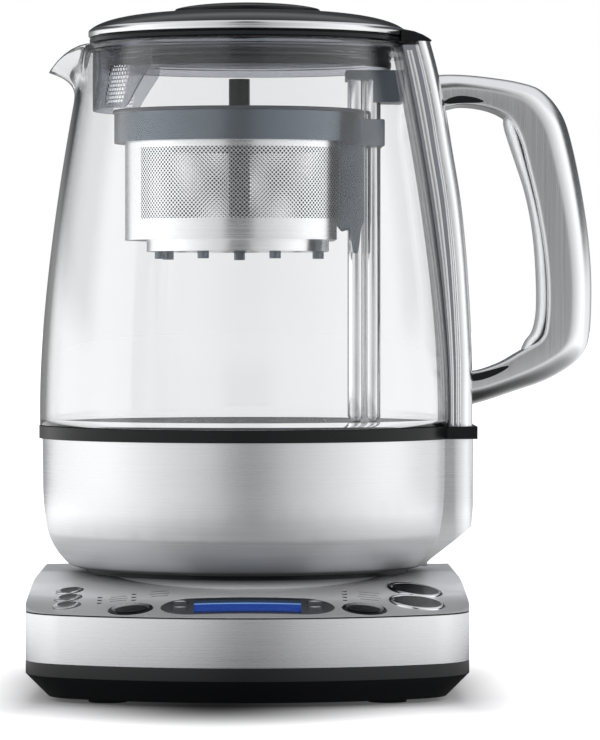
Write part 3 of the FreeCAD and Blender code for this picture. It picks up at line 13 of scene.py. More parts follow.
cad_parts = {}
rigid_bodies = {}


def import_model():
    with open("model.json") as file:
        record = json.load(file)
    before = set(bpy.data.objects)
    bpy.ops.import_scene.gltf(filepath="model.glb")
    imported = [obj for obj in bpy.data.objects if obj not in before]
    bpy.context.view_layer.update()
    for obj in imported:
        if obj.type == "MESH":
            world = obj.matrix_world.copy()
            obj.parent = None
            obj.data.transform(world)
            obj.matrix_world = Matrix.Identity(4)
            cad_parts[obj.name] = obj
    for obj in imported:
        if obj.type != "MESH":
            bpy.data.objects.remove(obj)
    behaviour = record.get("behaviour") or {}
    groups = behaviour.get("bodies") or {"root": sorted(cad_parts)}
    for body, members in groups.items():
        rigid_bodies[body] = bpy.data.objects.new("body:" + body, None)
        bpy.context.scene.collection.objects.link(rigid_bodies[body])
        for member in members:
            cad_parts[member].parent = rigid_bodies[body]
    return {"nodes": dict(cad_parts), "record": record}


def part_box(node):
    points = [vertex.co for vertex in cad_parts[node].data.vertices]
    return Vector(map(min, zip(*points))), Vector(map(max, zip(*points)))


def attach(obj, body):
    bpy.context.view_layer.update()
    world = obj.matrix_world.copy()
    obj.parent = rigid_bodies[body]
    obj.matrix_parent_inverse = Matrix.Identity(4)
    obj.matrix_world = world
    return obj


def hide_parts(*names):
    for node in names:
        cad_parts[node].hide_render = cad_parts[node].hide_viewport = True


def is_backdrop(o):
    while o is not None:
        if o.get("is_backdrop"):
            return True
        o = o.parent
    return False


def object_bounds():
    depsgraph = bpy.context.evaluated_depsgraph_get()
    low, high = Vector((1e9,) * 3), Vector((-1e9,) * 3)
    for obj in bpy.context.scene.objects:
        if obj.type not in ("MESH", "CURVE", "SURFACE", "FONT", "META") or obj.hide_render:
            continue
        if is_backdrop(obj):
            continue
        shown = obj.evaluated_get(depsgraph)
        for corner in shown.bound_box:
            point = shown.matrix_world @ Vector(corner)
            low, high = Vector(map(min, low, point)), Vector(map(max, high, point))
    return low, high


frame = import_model()

bl_info = {
    "name": "Tea maker looks",
    "version": (1, 0, 0),
    "blender": (4, 5, 0),
    "location": "3D View > Sidebar > Tea maker",
    "description": "Models and finishes the visible pieces of an automatic tea maker",
    "category": "Object",
}

MM = 0.001
CAD_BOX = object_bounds()
SLOTS = {part["node"]: part["material_slot"] for part in frame["record"]["subparts"]}
GLASS_LOW, GLASS_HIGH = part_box("glass_jug")
MESH_LOW, MESH_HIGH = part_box("basket_wall")
LOOP_HALF_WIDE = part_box("handle_shell")[1].y
DECK_HALF_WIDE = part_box("base_deck")[1].x


# ---------------------------------------------------------------- settings


def length_property(name, description, default):
    return FloatProperty(name=name, description=description, default=default, unit="LENGTH")


class TeaMakerSizes(bpy.types.PropertyGroup):
    glass_wall: length_property("Glass wall", "Thickness of the jug's glass", 2.5 * MM)
    glass_rim_radius: length_property(
        "Glass rim radius", "Outer radius of the glass at its rim", 69.8 * MM)
    spout_reach: length_property(
        "Spout reach", "How far the pouring lip leans out past the rim", 16.4 * MM)
    spout_drop: length_property(
        "Spout drop", "How far the lip's tip lies below the rim", 11.8 * MM)
    spout_half_angle: FloatProperty(
        name="Spout half angle", description="Half the part of the rim that the lip takes",
        default=math.radians(17), subtype="ANGLE")
    handle_half_wide: length_property(
        "Handle half width", "Half the handle's width across the jug", LOOP_HALF_WIDE)
    handle_fullness: FloatProperty(
        name="Handle fullness", description="Shape of the handle's section, from square to oval",
        default=0.95, min=0.3, max=1)
    hole_pitch: length_property(
        "Strainer hole pitch", "Distance between neighbouring strainer holes", 1.8 * MM)
    hole_share: FloatProperty(
        name="Strainer hole share", description="Hole width as a share of the pitch", default=0.56,
        min=0.1, max=0.9, subtype="FACTOR")


def colour_property(name, description, default):
    return FloatVectorProperty(name=name, description=description, default=default, size=3,
                               subtype="COLOR", min=0, max=1)


class TeaMakerColours(bpy.types.PropertyGroup):
    steel: colour_property(
        "Brushed steel", "Base colour of the brushed steel", (0.74, 0.745, 0.76))
    slate: colour_property(
        "Slate plastic", "Base colour of the smoked blue-grey plastic", (0.135, 0.16, 0.19))
    black: colour_property(
        "Black plastic", "Base colour of the black mouldings", (0.006, 0.0065, 0.0075))
    lit_blue: colour_property(
        "Display blue", "Colour of the lit display", (0.012, 0.06, 0.36))


# ---------------------------------------------------------------- modelling helpers


def deselect_all():
    if bpy.context.object and bpy.context.object.mode != "OBJECT":
        bpy.ops.object.mode_set(mode="OBJECT")
    bpy.ops.object.select_all(action="DESELECT")


def take(piece):
    deselect_all()
    piece.select_set(True)
    bpy.context.view_layer.objects.active = piece


def new_piece(name, mesh):
    piece = bpy.data.objects.new(name, mesh)
    bpy.context.scene.collection.objects.link(piece)
    take(piece)
    return piece


def meshed(name, points, edges, faces):
    mesh = bpy.data.meshes.new(name)
    mesh.from_pydata(points, edges, faces)
    return new_piece(name, mesh)


@contextmanager
def editing(merge=0.0, outwards=True):
    """Edit mode with all selected. At its end doubles are merged and faces turned outwards."""
    bpy.ops.object.mode_set(mode="EDIT")
    bpy.ops.mesh.select_all(action="SELECT")
    yield
    bpy.ops.mesh.select_all(action="SELECT")
    if merge:
        bpy.ops.mesh.remove_doubles(threshold=merge)
    if outwards:
        bpy.ops.mesh.normals_make_consistent(inside=False)
    bpy.ops.object.mode_set(mode="OBJECT")


def drawn(name, points, closed=False):
    """A new object that holds a line of points, ready for the edit-mode operators."""
    edges = [(index, index + 1) for index in range(len(points) - 1)]
    if closed:
        edges.append((len(points) - 1, 0))
    return meshed(name, points, edges, [])


def modify(piece, kind, **settings):
    take(piece)
    modifier = piece.modifiers.new(kind.title(), kind)
    for key, value in settings.items():
        setattr(modifier, key, value)
    bpy.ops.object.modifier_apply(modifier=modifier.name)


def smooth(piece, degrees):
    take(piece)
    bpy.ops.object.shade_smooth_by_angle(angle=math.radians(degrees))


def ready(piece, body, slot, finish, *nodes, degrees=0):
    """Shades a new piece smooth, gives it its finish and body, and hides the imported parts that it
    stands for. Its slot is not used.
    """
    if degrees:
        smooth(piece, degrees)
    piece.data.materials.clear()
    piece.data.materials.append(MATERIALS[finish])
    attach(piece, body)
    for node in nodes:
        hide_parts(node)


def softened(node, shaped=None):
    """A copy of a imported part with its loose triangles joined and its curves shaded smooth."""
    source = frame["nodes"][node]
    piece = new_piece(f"{node}_smooth", source.data.copy())
    bpy.ops.mesh.customdata_custom_splitnormals_clear()
    with editing(merge=0.002 * MM, outwards=False):
        pass
    if shaped:
        for vertex in piece.data.vertices:
            vertex.co = shaped(vertex.co)
    smooth(piece, 32)
    modify(piece, "WEIGHTED_NORMAL", keep_sharp=True)
    ready(piece, source.parent.name.removeprefix("body:"), SLOTS[node], FINISH_OF[node], node)


def spun(name, profile, steps=144):
    """A closed or open skin turned about the Z axis from a profile of (radius, height)."""
    piece = drawn(name, [(radius, 0, height) for radius, height in profile])
    with editing(merge=0.02 * MM):
        bpy.ops.mesh.spin(steps=steps, angle=math.tau, center=(0, 0, 0), axis=(0, 0, 1))
    return piece


def spun_arc(name, section, start, angle, steps=96):
    """A closed bar turned part of the way round the Z axis from a section of (radius, height)."""
    piece = drawn(name, [(radius * math.cos(start), radius * math.sin(start), height)
                         for radius, height in section], closed=True)
    with editing(merge=0.01 * MM):
        bpy.ops.mesh.edge_face_add()
        bpy.ops.mesh.spin(steps=steps, angle=angle, center=(0, 0, 0), axis=(0, 0, 1))
    return piece


def plate(name, corners, thick):
    """A plate raised from its corners by a move, given as (x, y, z)."""
    piece = drawn(name, corners, closed=True)
    with editing():
        bpy.ops.mesh.edge_face_add()
        bpy.ops.mesh.extrude_region_move(TRANSFORM_OT_translate={"value": thick})
    return piece


def side_slab(name, points, low, high, edge_radius):
    """A slab with rounded edges, cut to an outline of (x, z) and pushed out between two y."""
    piece = plate(name, [(x, low, z) for x, z in points], (0, high - low, 0))
    modify(piece, "BEVEL", width=edge_radius, segments=3, limit_method="ANGLE",
           angle_limit=math.radians(50), use_clamp_overlap=True)
    return piece


def grid_faces(rows, columns):
    """Faces over rows of points, each row one point longer than its faces."""
    across = columns + 1
    return [(r * across + c, r * across + c + 1, (r + 1) * across + c + 1, (r + 1) * across + c)
            for r in range(rows) for c in range(columns)]


def lofted(name, rings):
    """A closed skin over a row of section loops with the same number of points, ends capped."""
    count = len(rings[0])
    faces = [tuple(range(count))[::-1],
             tuple(range((len(rings) - 1) * count, len(rings) * count))]
    for here in range(0, (len(rings) - 1) * count, count):
        for index in range(count):
            after = (index + 1) % count
            faces.append((here + index, here + after, here + count + after, here + count + index))
    piece = meshed(name, [point for ring in rings for point in ring], [], faces)
    with editing():
        pass
    return piece


def block(name, low, high, edge_radius=0.0, segments=3):
    """A box between two corners, its edges rounded."""
    deselect_all()
    bpy.ops.mesh.primitive_cube_add(size=1)
    piece = bpy.context.object
    piece.name = name
    for vertex in piece.data.vertices:
        vertex.co = [low[axis] + (vertex.co[axis] + 0.5) * (high[axis] - low[axis])
                     for axis in (0, 1, 2)]
    if edge_radius:
        modify(piece, "BEVEL", width=edge_radius, segments=segments, limit_method="ANGLE",
               angle_limit=math.radians(40))
    return piece


def joined(pieces):
    deselect_all()
    for piece in pieces:
        piece.select_set(True)
    bpy.context.view_layer.objects.active = pieces[0]
    bpy.ops.object.join()
    return pieces[0]


def bezier(start, start_pull, end_pull, end, steps):
    """Points along one cubic curve, from start to end."""
    points = []
    for step in range(steps + 1):
        share = step / steps
        rest = 1 - share
        weights = (rest ** 3, 3 * rest ** 2 * share, 3 * rest * share ** 2, share ** 3)
        corners = (start, start_pull, end_pull, end)
        points.append(tuple(sum(w * corner[axis] for w, corner in zip(weights, corners))
                            for axis in (0, 1)))
    return points


def through(points):
    """A smooth line that passes through all the given points, five steps from one to the next."""
    last = len(points) - 1
    line = []
    for index in range(last):
        before, here, there, after = (points[min(max(index + offset, 0), last)]
                                      for offset in (-1, 0, 1, 2))
        pull_out = tuple(here[axis] + (there[axis] - before[axis]) / 6 for axis in (0, 1))
        pull_in = tuple(there[axis] - (after[axis] - here[axis]) / 6 for axis in (0, 1))
        line += bezier(here, pull_out, pull_in, there, 5)[:-1]
    return line + [points[-1]]


def in_mm(points):
    return [tuple(value * MM for value in point) for point in points]


def middle_of(low, high):
    return (low.x + high.x) / 2, (low.y + high.y) / 2


def surface_at(node, x, y):
    """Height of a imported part's top surface under a point."""
    mesh = frame["nodes"][node].data
    faces = BVHTree.FromPolygons([vertex.co for vertex in mesh.vertices],
                                 [tuple(face.vertices) for face in mesh.polygons])
    place = faces.ray_cast(Vector((x, y, 0.4)), Vector((0, 0, -1)))[0]
    if place is None:
        raise RuntimeError(f"{node} has no surface at {x:.4f}, {y:.4f}")
    return place.z


# ---------------------------------------------------------------- shader helpers


def feed(tree, source, socket):
    """Links a socket to another one, or sets it where the source is a plain value."""
    if isinstance(source, bpy.types.NodeSocket):
        tree.links.new(source, socket)
    else:
        socket.default_value = source


def put(tree, kind, *sources, **values):
    """Adds a node, feeds its first sockets in order, and the others and its settings by name."""
    node = tree.nodes.new(kind)
    for key, value in values.items():
        name = key.replace("_", " ")
        if name in node.inputs:
            feed(tree, value, node.inputs[name])
        else:
            setattr(node, key, value)
    for source, socket in zip(sources, node.inputs):
        feed(tree, source, socket)
    return node


def maths(tree, operation, *sources, **settings):
    return put(tree, "ShaderNodeMath", *sources, operation=operation, **settings).outputs[0]


def vector_maths(tree, operation, *sources):
    node = put(tree, "ShaderNodeVectorMath", *sources, operation=operation)
    return node.outputs["Value" if operation == "LENGTH" else "Vector"]


def ranged(tree, source, start=0.0, end=1.0, first=0.0, last=1.0, **settings):
    """A value that goes from first to last while its source goes from start to end."""
    node = put(tree, "ShaderNodeMapRange", source, start, end, first, last, **settings)
    return node.outputs["Result"]


def eased(tree, source, start, end, first=0.0, last=1.0):
    return ranged(tree, source, start, end, first, last, interpolation_type="SMOOTHSTEP")


def mixed(tree, share, first, second, **settings):
    """The colour at a share of the way from the first colour to the second."""
    mix = put(tree, "ShaderNodeMix", data_type="RGBA", **settings)
    for slot, source in ((0, share), (6, first), (7, second)):
        feed(tree, (*source, 1) if isinstance(source, tuple) else source, mix.inputs[slot])
    return mix.outputs[2]


def toned(tree, source, colour, spread):
    """A colour that a 0 to 1 value makes a little darker or lighter."""
    return mixed(tree, source, tuple(channel * (1 - spread) for channel in colour),
                 tuple(min(channel * (1 + spread), 1) for channel in colour))


def curved(tree, source, points, straight=False):
    """A value read off a curve through (place, level) points."""
    node = put(tree, "ShaderNodeFloatCurve", Value=source)
    curve = node.mapping.curves[0]
    node.mapping.use_clip = False
    curve.points[0].location, curve.points[1].location = points[0], points[-1]
    for place in points[1:-1]:
        curve.points.new(*place)
    if straight:
        for point in curve.points:
            point.handle_type = "VECTOR"
    node.mapping.update()
    return node.outputs["Value"]


def object_place(tree):
    return put(tree, "ShaderNodeTexCoord").outputs["Object"]


def axes_of(tree, vector):
    return put(tree, "ShaderNodeSeparateXYZ", vector).outputs


def between(tree, source, low, high):
    """1 where a value lies between two limits, else 0."""
    return maths(tree, "MULTIPLY", maths(tree, "GREATER_THAN", source, low),
                 maths(tree, "LESS_THAN", source, high))


def ray_kinds(tree):
    """Light Path's sockets, and masks of what is seen through clear parts and what is mirrored."""
    rays = put(tree, "ShaderNodeLightPath").outputs
    glossy = maths(tree, "GREATER_THAN", rays["Glossy Depth"], 0.5)
    diffuse = maths(tree, "GREATER_THAN", rays["Diffuse Depth"], 0.5)
    passing = maths(tree, "SUBTRACT", rays["Is Transmission Ray"],
                    maths(tree, "MAXIMUM", glossy, diffuse), use_clamp=True)
    return rays, passing, maths(tree, "SUBTRACT", glossy, diffuse, use_clamp=True)


# ---------------------------------------------------------------- shared shader groups


GROUPS = {}


def new_group(name, inputs, outputs):
    """A shader node group with named value or vector sockets."""
    tree = bpy.data.node_groups.new(name, "ShaderNodeTree")
    for label, default in inputs.items():
        kind = "NodeSocketVector" if isinstance(default, tuple) else "NodeSocketFloat"
        socket = tree.interface.new_socket(name=label, in_out="INPUT", socket_type=kind)
        socket.default_value = default
    for label in outputs:
        tree.interface.new_socket(name=label, in_out="OUTPUT", socket_type="NodeSocketFloat")
    return tree, tree.nodes.new("NodeGroupInput").outputs, tree.nodes.new("NodeGroupOutput").inputs


def grouped(tree, maker, *settings, **values):
    """Places a shared group in a material with its own values. It is built on its first use."""
    key = (maker, *settings)
    if key not in GROUPS:
        GROUPS[key] = maker(*settings)
    return put(tree, "ShaderNodeGroup", node_tree=GROUPS[key], **values).outputs


def brushing_group():
    """Fine parallel lines: noise drawn out along the way the steel was brushed."""
    tree, source, result = new_group("Brushing", {"Stretch": (20.0, 20.0, 1500.0)}, ("Tone",))
    drawn_out = vector_maths(tree, "MULTIPLY", object_place(tree), source["Stretch"])
    lines = put(tree, "ShaderNodeTexNoise", Vector=drawn_out, Scale=1.0, Detail=4.0, Roughness=0.7)
    feed(tree, ranged(tree, lines.outputs["Fac"], 0.3, 0.7), result["Tone"])
    return tree


def grain_group():
    """Even fine grain, as on a moulded surface, with slow cloudy changes for handling marks."""
    tree, source, result = new_group("Moulded grain", {"Scale": 2500.0}, ("Tone", "Cloud"))
    place = object_place(tree)
    fine = put(tree, "ShaderNodeTexNoise", Vector=place, Scale=source["Scale"], Detail=2.0)
    slow = put(tree, "ShaderNodeTexNoise", Vector=place, Scale=28.0, Detail=3.0)
    feed(tree, fine.outputs["Fac"], result["Tone"])
    feed(tree, slow.outputs["Fac"], result["Cloud"])
    return tree


def hole_group():
    """A field of round holes set in staggered rows, over a distance around and a height."""
    inputs = {"Around": 0.0, "Height": 0.0, "Pitch": 1.8 * MM, "Radius": 0.5 * MM}
    tree, source, result = new_group("Hole field", inputs, ("Hole",))
    reach = []
    for shift in (0.0, 0.5):
        squares = []
        for label, rise in (("Around", 1.0), ("Height", math.sqrt(3))):
            cell = maths(tree, "MULTIPLY", source["Pitch"], rise)
            moved = maths(tree, "MULTIPLY_ADD", cell, shift, source[label])
            share = maths(tree, "FRACT", maths(tree, "DIVIDE", moved, cell))
            length = maths(tree, "MULTIPLY", maths(tree, "SUBTRACT", share, 0.5), cell)
            squares.append(maths(tree, "MULTIPLY", length, length))
        reach.append(maths(tree, "SQRT", maths(tree, "ADD", *squares)))
    nearest = maths(tree, "MINIMUM", *reach)
    feed(tree, maths(tree, "LESS_THAN", nearest, source["Radius"]), result["Hole"])
    return tree


def dish_reflection_group():
    """A painted reflection mask: 0 inside a round dark disc that may be set off its key's centre, 1
    outside it.
    """
    tree, source, result = new_group(
        "Dish", {"Centre": (0.0, 0.0, 0.0), "Radius": 5 * MM, "Shift": 0.0}, ("Outside",))
    axes = axes_of(tree, vector_maths(tree, "SUBTRACT", object_place(tree), source["Centre"]))
    shift = maths(tree, "MULTIPLY", source["Radius"], source["Shift"])
    level = put(tree, "ShaderNodeCombineXYZ", axes["X"], maths(tree, "SUBTRACT", axes["Y"], shift))
    away = vector_maths(tree, "LENGTH", level.outputs[0])
    share = maths(tree, "DIVIDE", away, source["Radius"])
    feed(tree, eased(tree, share, 0.88, 1.0), result["Outside"])
    return tree


# Levels of the studio round the object: (angle from the front in degrees, level).
SIDE_SWEEP = {"left": ((-180, 0.22), (-152, 0.30), (-138, 1.15), (-105, 1.45), (-80, 1.40)),
              "right": ((60, 1.05), (80, 1.30), (95, 1.30), (108, 1.02), (138, 1.02), (154, 0.34),
                        (180, 0.22))}
SWEEPS = {
    "Wall sweep": ((-62, 1.05), (-40, 0.82), (-17, 0.70), (-10, 0.02), (10, 0.02), (17, 0.64),
                   (40, 0.84)),
    "Floor sweep": ((-62, 1.10), (-40, 0.90), (-22, 0.76), (-14, 0.60), (-5, 0.47), (8, 0.47),
                    (16, 0.57), (30, 0.70), (44, 0.86)),
}


def sweep_group(name):
    """How bright the studio is in each direction round the object."""
    tree, source, result = new_group(name, {"Direction": (0.0, 0.0, 0.0)}, ("Tone",))
    axes = axes_of(tree, source["Direction"])
    turn = maths(tree, "ARCTAN2", axes["X"], maths(tree, "MULTIPLY", axes["Y"], -1))
    points = [((angle + 180) / 360, level)
              for angle, level in SIDE_SWEEP["left"] + SWEEPS[name] + SIDE_SWEEP["right"]]
    share = ranged(tree, turn, -math.pi, math.pi)
    feed(tree, curved(tree, share, points, straight=True), result["Tone"])
    return tree


# ---------------------------------------------------------------- finishes


def new_material(name, **values):
    """A material, its nodes and its shader's sockets, some of them set to plain values."""
    material = bpy.data.materials.new(name)
    material.use_nodes = True
    tree, look = opened(material)
    for key, value in values.items():
        look[key.replace("_", " ")].default_value = value
    return material, tree, look


def opened(material):
    tree = material.node_tree
    return tree, tree.nodes["Principled BSDF"].inputs


def bumped(tree, look, source, depth):
    bump = put(tree, "ShaderNodeBump", Strength=0.3, Distance=depth * MM, Height=source)
    feed(tree, bump.outputs["Normal"], look["Normal"])


def shown(tree, share, first, second):
    """Shows the first shader, and the second one where the share is 1."""
    mix = put(tree, "ShaderNodeMixShader", share, first.outputs[0], second.outputs[0])
    feed(tree, mix.outputs[0], tree.nodes["Material Output"].inputs["Surface"])


def brushed(name, colour, stretch, rough=(0.25, 0.33), spread=0.035, depth=0.006, metal=1.0):
    """Steel brushed in fine lines, whose depth is in millimetres."""
    material, tree, look = new_material(name, Metallic=metal)
    tone = grouped(tree, brushing_group, Stretch=stretch)["Tone"]
    feed(tree, toned(tree, tone, colour, spread), look["Base Color"])
    feed(tree, ranged(tree, tone, 0, 1, *rough), look["Roughness"])
    bumped(tree, look, tone, depth)
    return material


def moulded(name, colour, rough=(0.3, 0.4), scale=2500.0, spread=0.12, depth=0.0015, metal=0.0,
            coat=0.0, shine=0.5):
    """A fine-grained, slightly uneven finish, whose grain's depth is in millimetres."""
    material, tree, look = new_material(
        name, Metallic=metal, Coat_Weight=coat, Specular_IOR_Level=shine)
    grain = grouped(tree, grain_group, Scale=scale)
    feed(tree, toned(tree, grain["Cloud"], colour, spread), look["Base Color"])
    feed(tree, ranged(tree, grain["Cloud"], 0, 1, *rough), look["Roughness"])
    bumped(tree, look, grain["Tone"], depth)
    return material


def clear(name, colour, rough=0.0, ior=1.45):
    """A see-through finish that lets light pass on to what stands behind it."""
    material, tree, look = new_material(name, Roughness=rough, IOR=ior, Transmission_Weight=1.0)
    feed(tree, toned(tree, grouped(tree, grain_group)["Cloud"], colour, 0.02), look["Base Color"])
    rays = put(tree, "ShaderNodeLightPath").outputs
    shown(tree, rays["Is Shadow Ray"], tree.nodes["Principled BSDF"],
          put(tree, "ShaderNodeBsdfTransparent", Color=(*colour, 1)))
    return material


def smoked_skirt(name, colour):
    """Smoked clear plastic whose pouring filter has a slanted patch of small holes on each side."""
    wall_radius, slant = 66 * MM, -0.35
    foot = slant * 257 * MM
    material = clear(name, colour, rough=0.12, ior=1.25)
    tree, look = opened(material)
    axes = axes_of(tree, object_place(tree))
    turn = maths(tree, "ARCTAN2", maths(tree, "ABSOLUTE", axes["Y"]),
                 maths(tree, "MULTIPLY", axes["X"], -1))
    around = maths(tree, "MULTIPLY", turn, wall_radius)
    holes = grouped(tree, hole_group, Around=around, Height=axes["Z"], Pitch=1.9 * MM,
                    Radius=0.66 * MM)
    leaning = maths(tree, "MULTIPLY_ADD", axes["Z"], slant, around)
    patch = maths(tree, "MULTIPLY",
                  between(tree, leaning, foot + 33 * MM, foot + 47 * MM),
                  between(tree, axes["Z"], 249.5 * MM, 265 * MM))
    hole = maths(tree, "MULTIPLY", holes["Hole"], patch)
    feed(tree, maths(tree, "SUBTRACT", 1, hole), look["Alpha"])
    return material


def display_glow(name, blue):
    """A lit display: dim strip at the back, a fine light line, the lit field and a dark foot."""
    material, tree, look = new_material(
        name, Base_Color=(0.01, 0.012, 0.02, 1), Emission_Strength=0.85, Roughness=0.25)
    low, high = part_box("lcd_module")
    ramp = put(tree, "ShaderNodeValToRGB",
               ranged(tree, axes_of(tree, object_place(tree))["Y"], high.y, low.y))
    elements = ramp.color_ramp.elements
    elements[0].color, elements[1].color = (0.02, 0.035, 0.07, 1), (0.004, 0.012, 0.05, 1)
    for position, colour in ((0.2, (0.03, 0.055, 0.11)), (0.22, (0.25, 0.45, 0.9)),
                             (0.27, (0.25, 0.45, 0.9)), (0.3, blue), (0.72, blue),
                             (0.78, (0.006, 0.025, 0.12))):
        elements.new(position).color = (*colour, 1)
    feed(tree, ramp.outputs["Color"], look["Emission Color"])
    rays = put(tree, "ShaderNodeLightPath").outputs
    shown(tree, maths(tree, "GREATER_THAN", rays["Glossy Depth"], 0.5),
          tree.nodes["Principled BSDF"],
          put(tree, "ShaderNodeBsdfDiffuse", Color=(0.35, 0.36, 0.38, 1)))
    return material


def lid_finish(name, dark, steel):
    """The lid's cover: dark gloss on top, a steel ring round it and a dark foot below a seam."""
    material = moulded(name, dark, rough=(0.16, 0.24), shine=0.15)
    tree, look = opened(material)
    height = axes_of(tree, object_place(tree))["Z"]
    ring = between(tree, height, 278.9 * MM, 282.35 * MM)
    seam = between(tree, height, 278.2 * MM, 278.9 * MM)
    colour = mixed(tree, ring, look["Base Color"].links[0].from_socket, steel)
    feed(tree, mixed(tree, seam, colour, (0.001, 0.001, 0.001)), look["Base Color"])
    feed(tree, ring, look["Metallic"])
    return material


def shaded_by_height(material, low, high, stops):
    """Paints light and shade into a finish's colour by height, from (share of the height, level)
    pairs.
    """
    tree, look = opened(material)
    height = ranged(tree, axes_of(tree, object_place(tree))["Z"], low * MM, high * MM)
    tint = put(tree, "ShaderNodeVectorMath", look["Base Color"].links[0].from_socket,
               operation="SCALE", Scale=curved(tree, height, stops))
    feed(tree, tint.outputs[0], look["Base Color"])
    return material, height


def bowl_finish(name, colour, stretch):
    """Brushed steel that grows softer as it rounds under to the foot, with painted light and shade:
    a painted highlight on the lower curve and painted shade, nearly black, at the foot.
    """
    material, height = shaded_by_height(
        brushed(name, colour, stretch, spread=0.05, depth=0.012), 50, 90,
        ((0.0, 0.05), (0.07, 0.08), (0.11, 0.55), (0.16, 0.84), (0.25, 1.10), (0.42, 1.30),
         (0.6, 1.2), (0.8, 1.02), (1.0, 1.0)))
    tree, look = opened(material)
    softer = maths(tree, "ADD", look["Roughness"].links[0].from_socket,
                   ranged(tree, height, 0.7, 0.3, 0.0, 0.36))
    feed(tree, softer, look["Roughness"])
    return material


def deck_finish(name, stretch):
    """Brushed steel with painted light and shade: lighter on the slope up to the seat, darker low
    down and on the flat top, and painted shade on the upright step round the jug's seat, darkest
    under the bowl.
    """
    material, height = shaded_by_height(
        brushed(name, (0.72, 0.725, 0.74), stretch, rough=(0.38, 0.48), metal=0.3), 36, 52,
        ((0.0, 0.58), (0.2, 0.60), (0.38, 0.9), (0.5, 1.36), (0.84, 1.38), (0.88, 0.95),
         (1.0, 0.78)))
    tree, look = opened(material)
    # Painted shade: the upright step round the seat is darkened as if it lay in the bowl's shade.
    radius = vector_maths(
        tree, "LENGTH", vector_maths(tree, "MULTIPLY", object_place(tree), (1, 1, 0)))
    shade = ranged(tree, height, 0.66, 0.86, 0.48, 0.98)
    for source, start, end, first, last in (
            (radius, 60.2 * MM, 61.6 * MM, 1, 0), (radius, 59.2 * MM, 59.7 * MM, 0, 1),
            (height, 0.878, 0.89, 1, 0)):
        shade = maths(tree, "MULTIPLY", shade, ranged(tree, source, start, end, first, last))
    feed(tree, mixed(tree, shade, look["Base Color"].links[0].from_socket, (0.08, 0.08, 0.085),
                     blend_type="MULTIPLY"), look["Base Color"])
    return material


def dished(node, radius, shift, dark, light):
    """A bright key whose dished top has a painted reflection: dark inside a bright edge, the dark
    disc set off the centre by its shift.
    """
    material, tree, look = new_material(node.replace("_", " "), Metallic=0.9)
    outside = grouped(tree, dish_reflection_group, Centre=(*middle_of(*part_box(node)), 0),
                      Radius=radius * MM, Shift=shift)["Outside"]
    tone = grouped(tree, brushing_group, Stretch=(2200.0, 40.0, 40.0))["Tone"]
    inside = mixed(tree, tone, tuple(0.75 * channel for channel in dark),
                   tuple(1.6 * channel for channel in dark))
    feed(tree, mixed(tree, outside, inside, light), look["Base Color"])
    feed(tree, ranged(tree, outside, 0, 1, 0.3, 0.12), look["Roughness"])
    bumped(tree, look, tone, 0.002)
    return material


# Per key: the radius of the painted dark reflection in millimetres, its shift off the key's centre
# as a share of that radius, its dark colour and the key's bright colour.
SMALL_DISH = (4.3, 0.30, (0.03, 0.031, 0.034), (0.86, 0.87, 0.89))
MEDIUM_DISH = (7.4, -0.42, (0.018, 0.02, 0.022), (0.92, 0.92, 0.95))
DISHES = {
    "small_button_back": SMALL_DISH,
    "small_button_mid": SMALL_DISH,
    "small_button_front": SMALL_DISH,
    "medium_button_left": MEDIUM_DISH,
    "medium_button_right": MEDIUM_DISH,
    "large_button_back": (11.0, 0.0, (0.075, 0.077, 0.082), (0.60, 0.61, 0.63)),
    "large_button_front": (11.0, 0.0, (0.055, 0.056, 0.06), (0.60, 0.61, 0.63)),
}
AROUND, ALONG, UPRIGHT = (14.0, 14.0, 2600.0), (14.0, 2600.0, 2600.0), (2600.0, 2600.0, 14.0)
BRUSHED = {
    "satin steel": dict(colour=(0.84, 0.845, 0.86), stretch=UPRIGHT, rough=(0.2, 0.27),
                        spread=0.03, depth=0.008),
    "post steel": dict(colour=(0.93, 0.935, 0.945), stretch=UPRIGHT, rough=(0.10, 0.16),
                       spread=0.03, depth=0.005),
    "inner steel": dict(colour=(0.62, 0.63, 0.65), stretch=(400.0, 400.0, 400.0), rough=(0.2, 0.3)),
    "strainer steel": dict(colour=(0.93, 0.935, 0.945), stretch=AROUND, rough=(0.16, 0.24)),
}
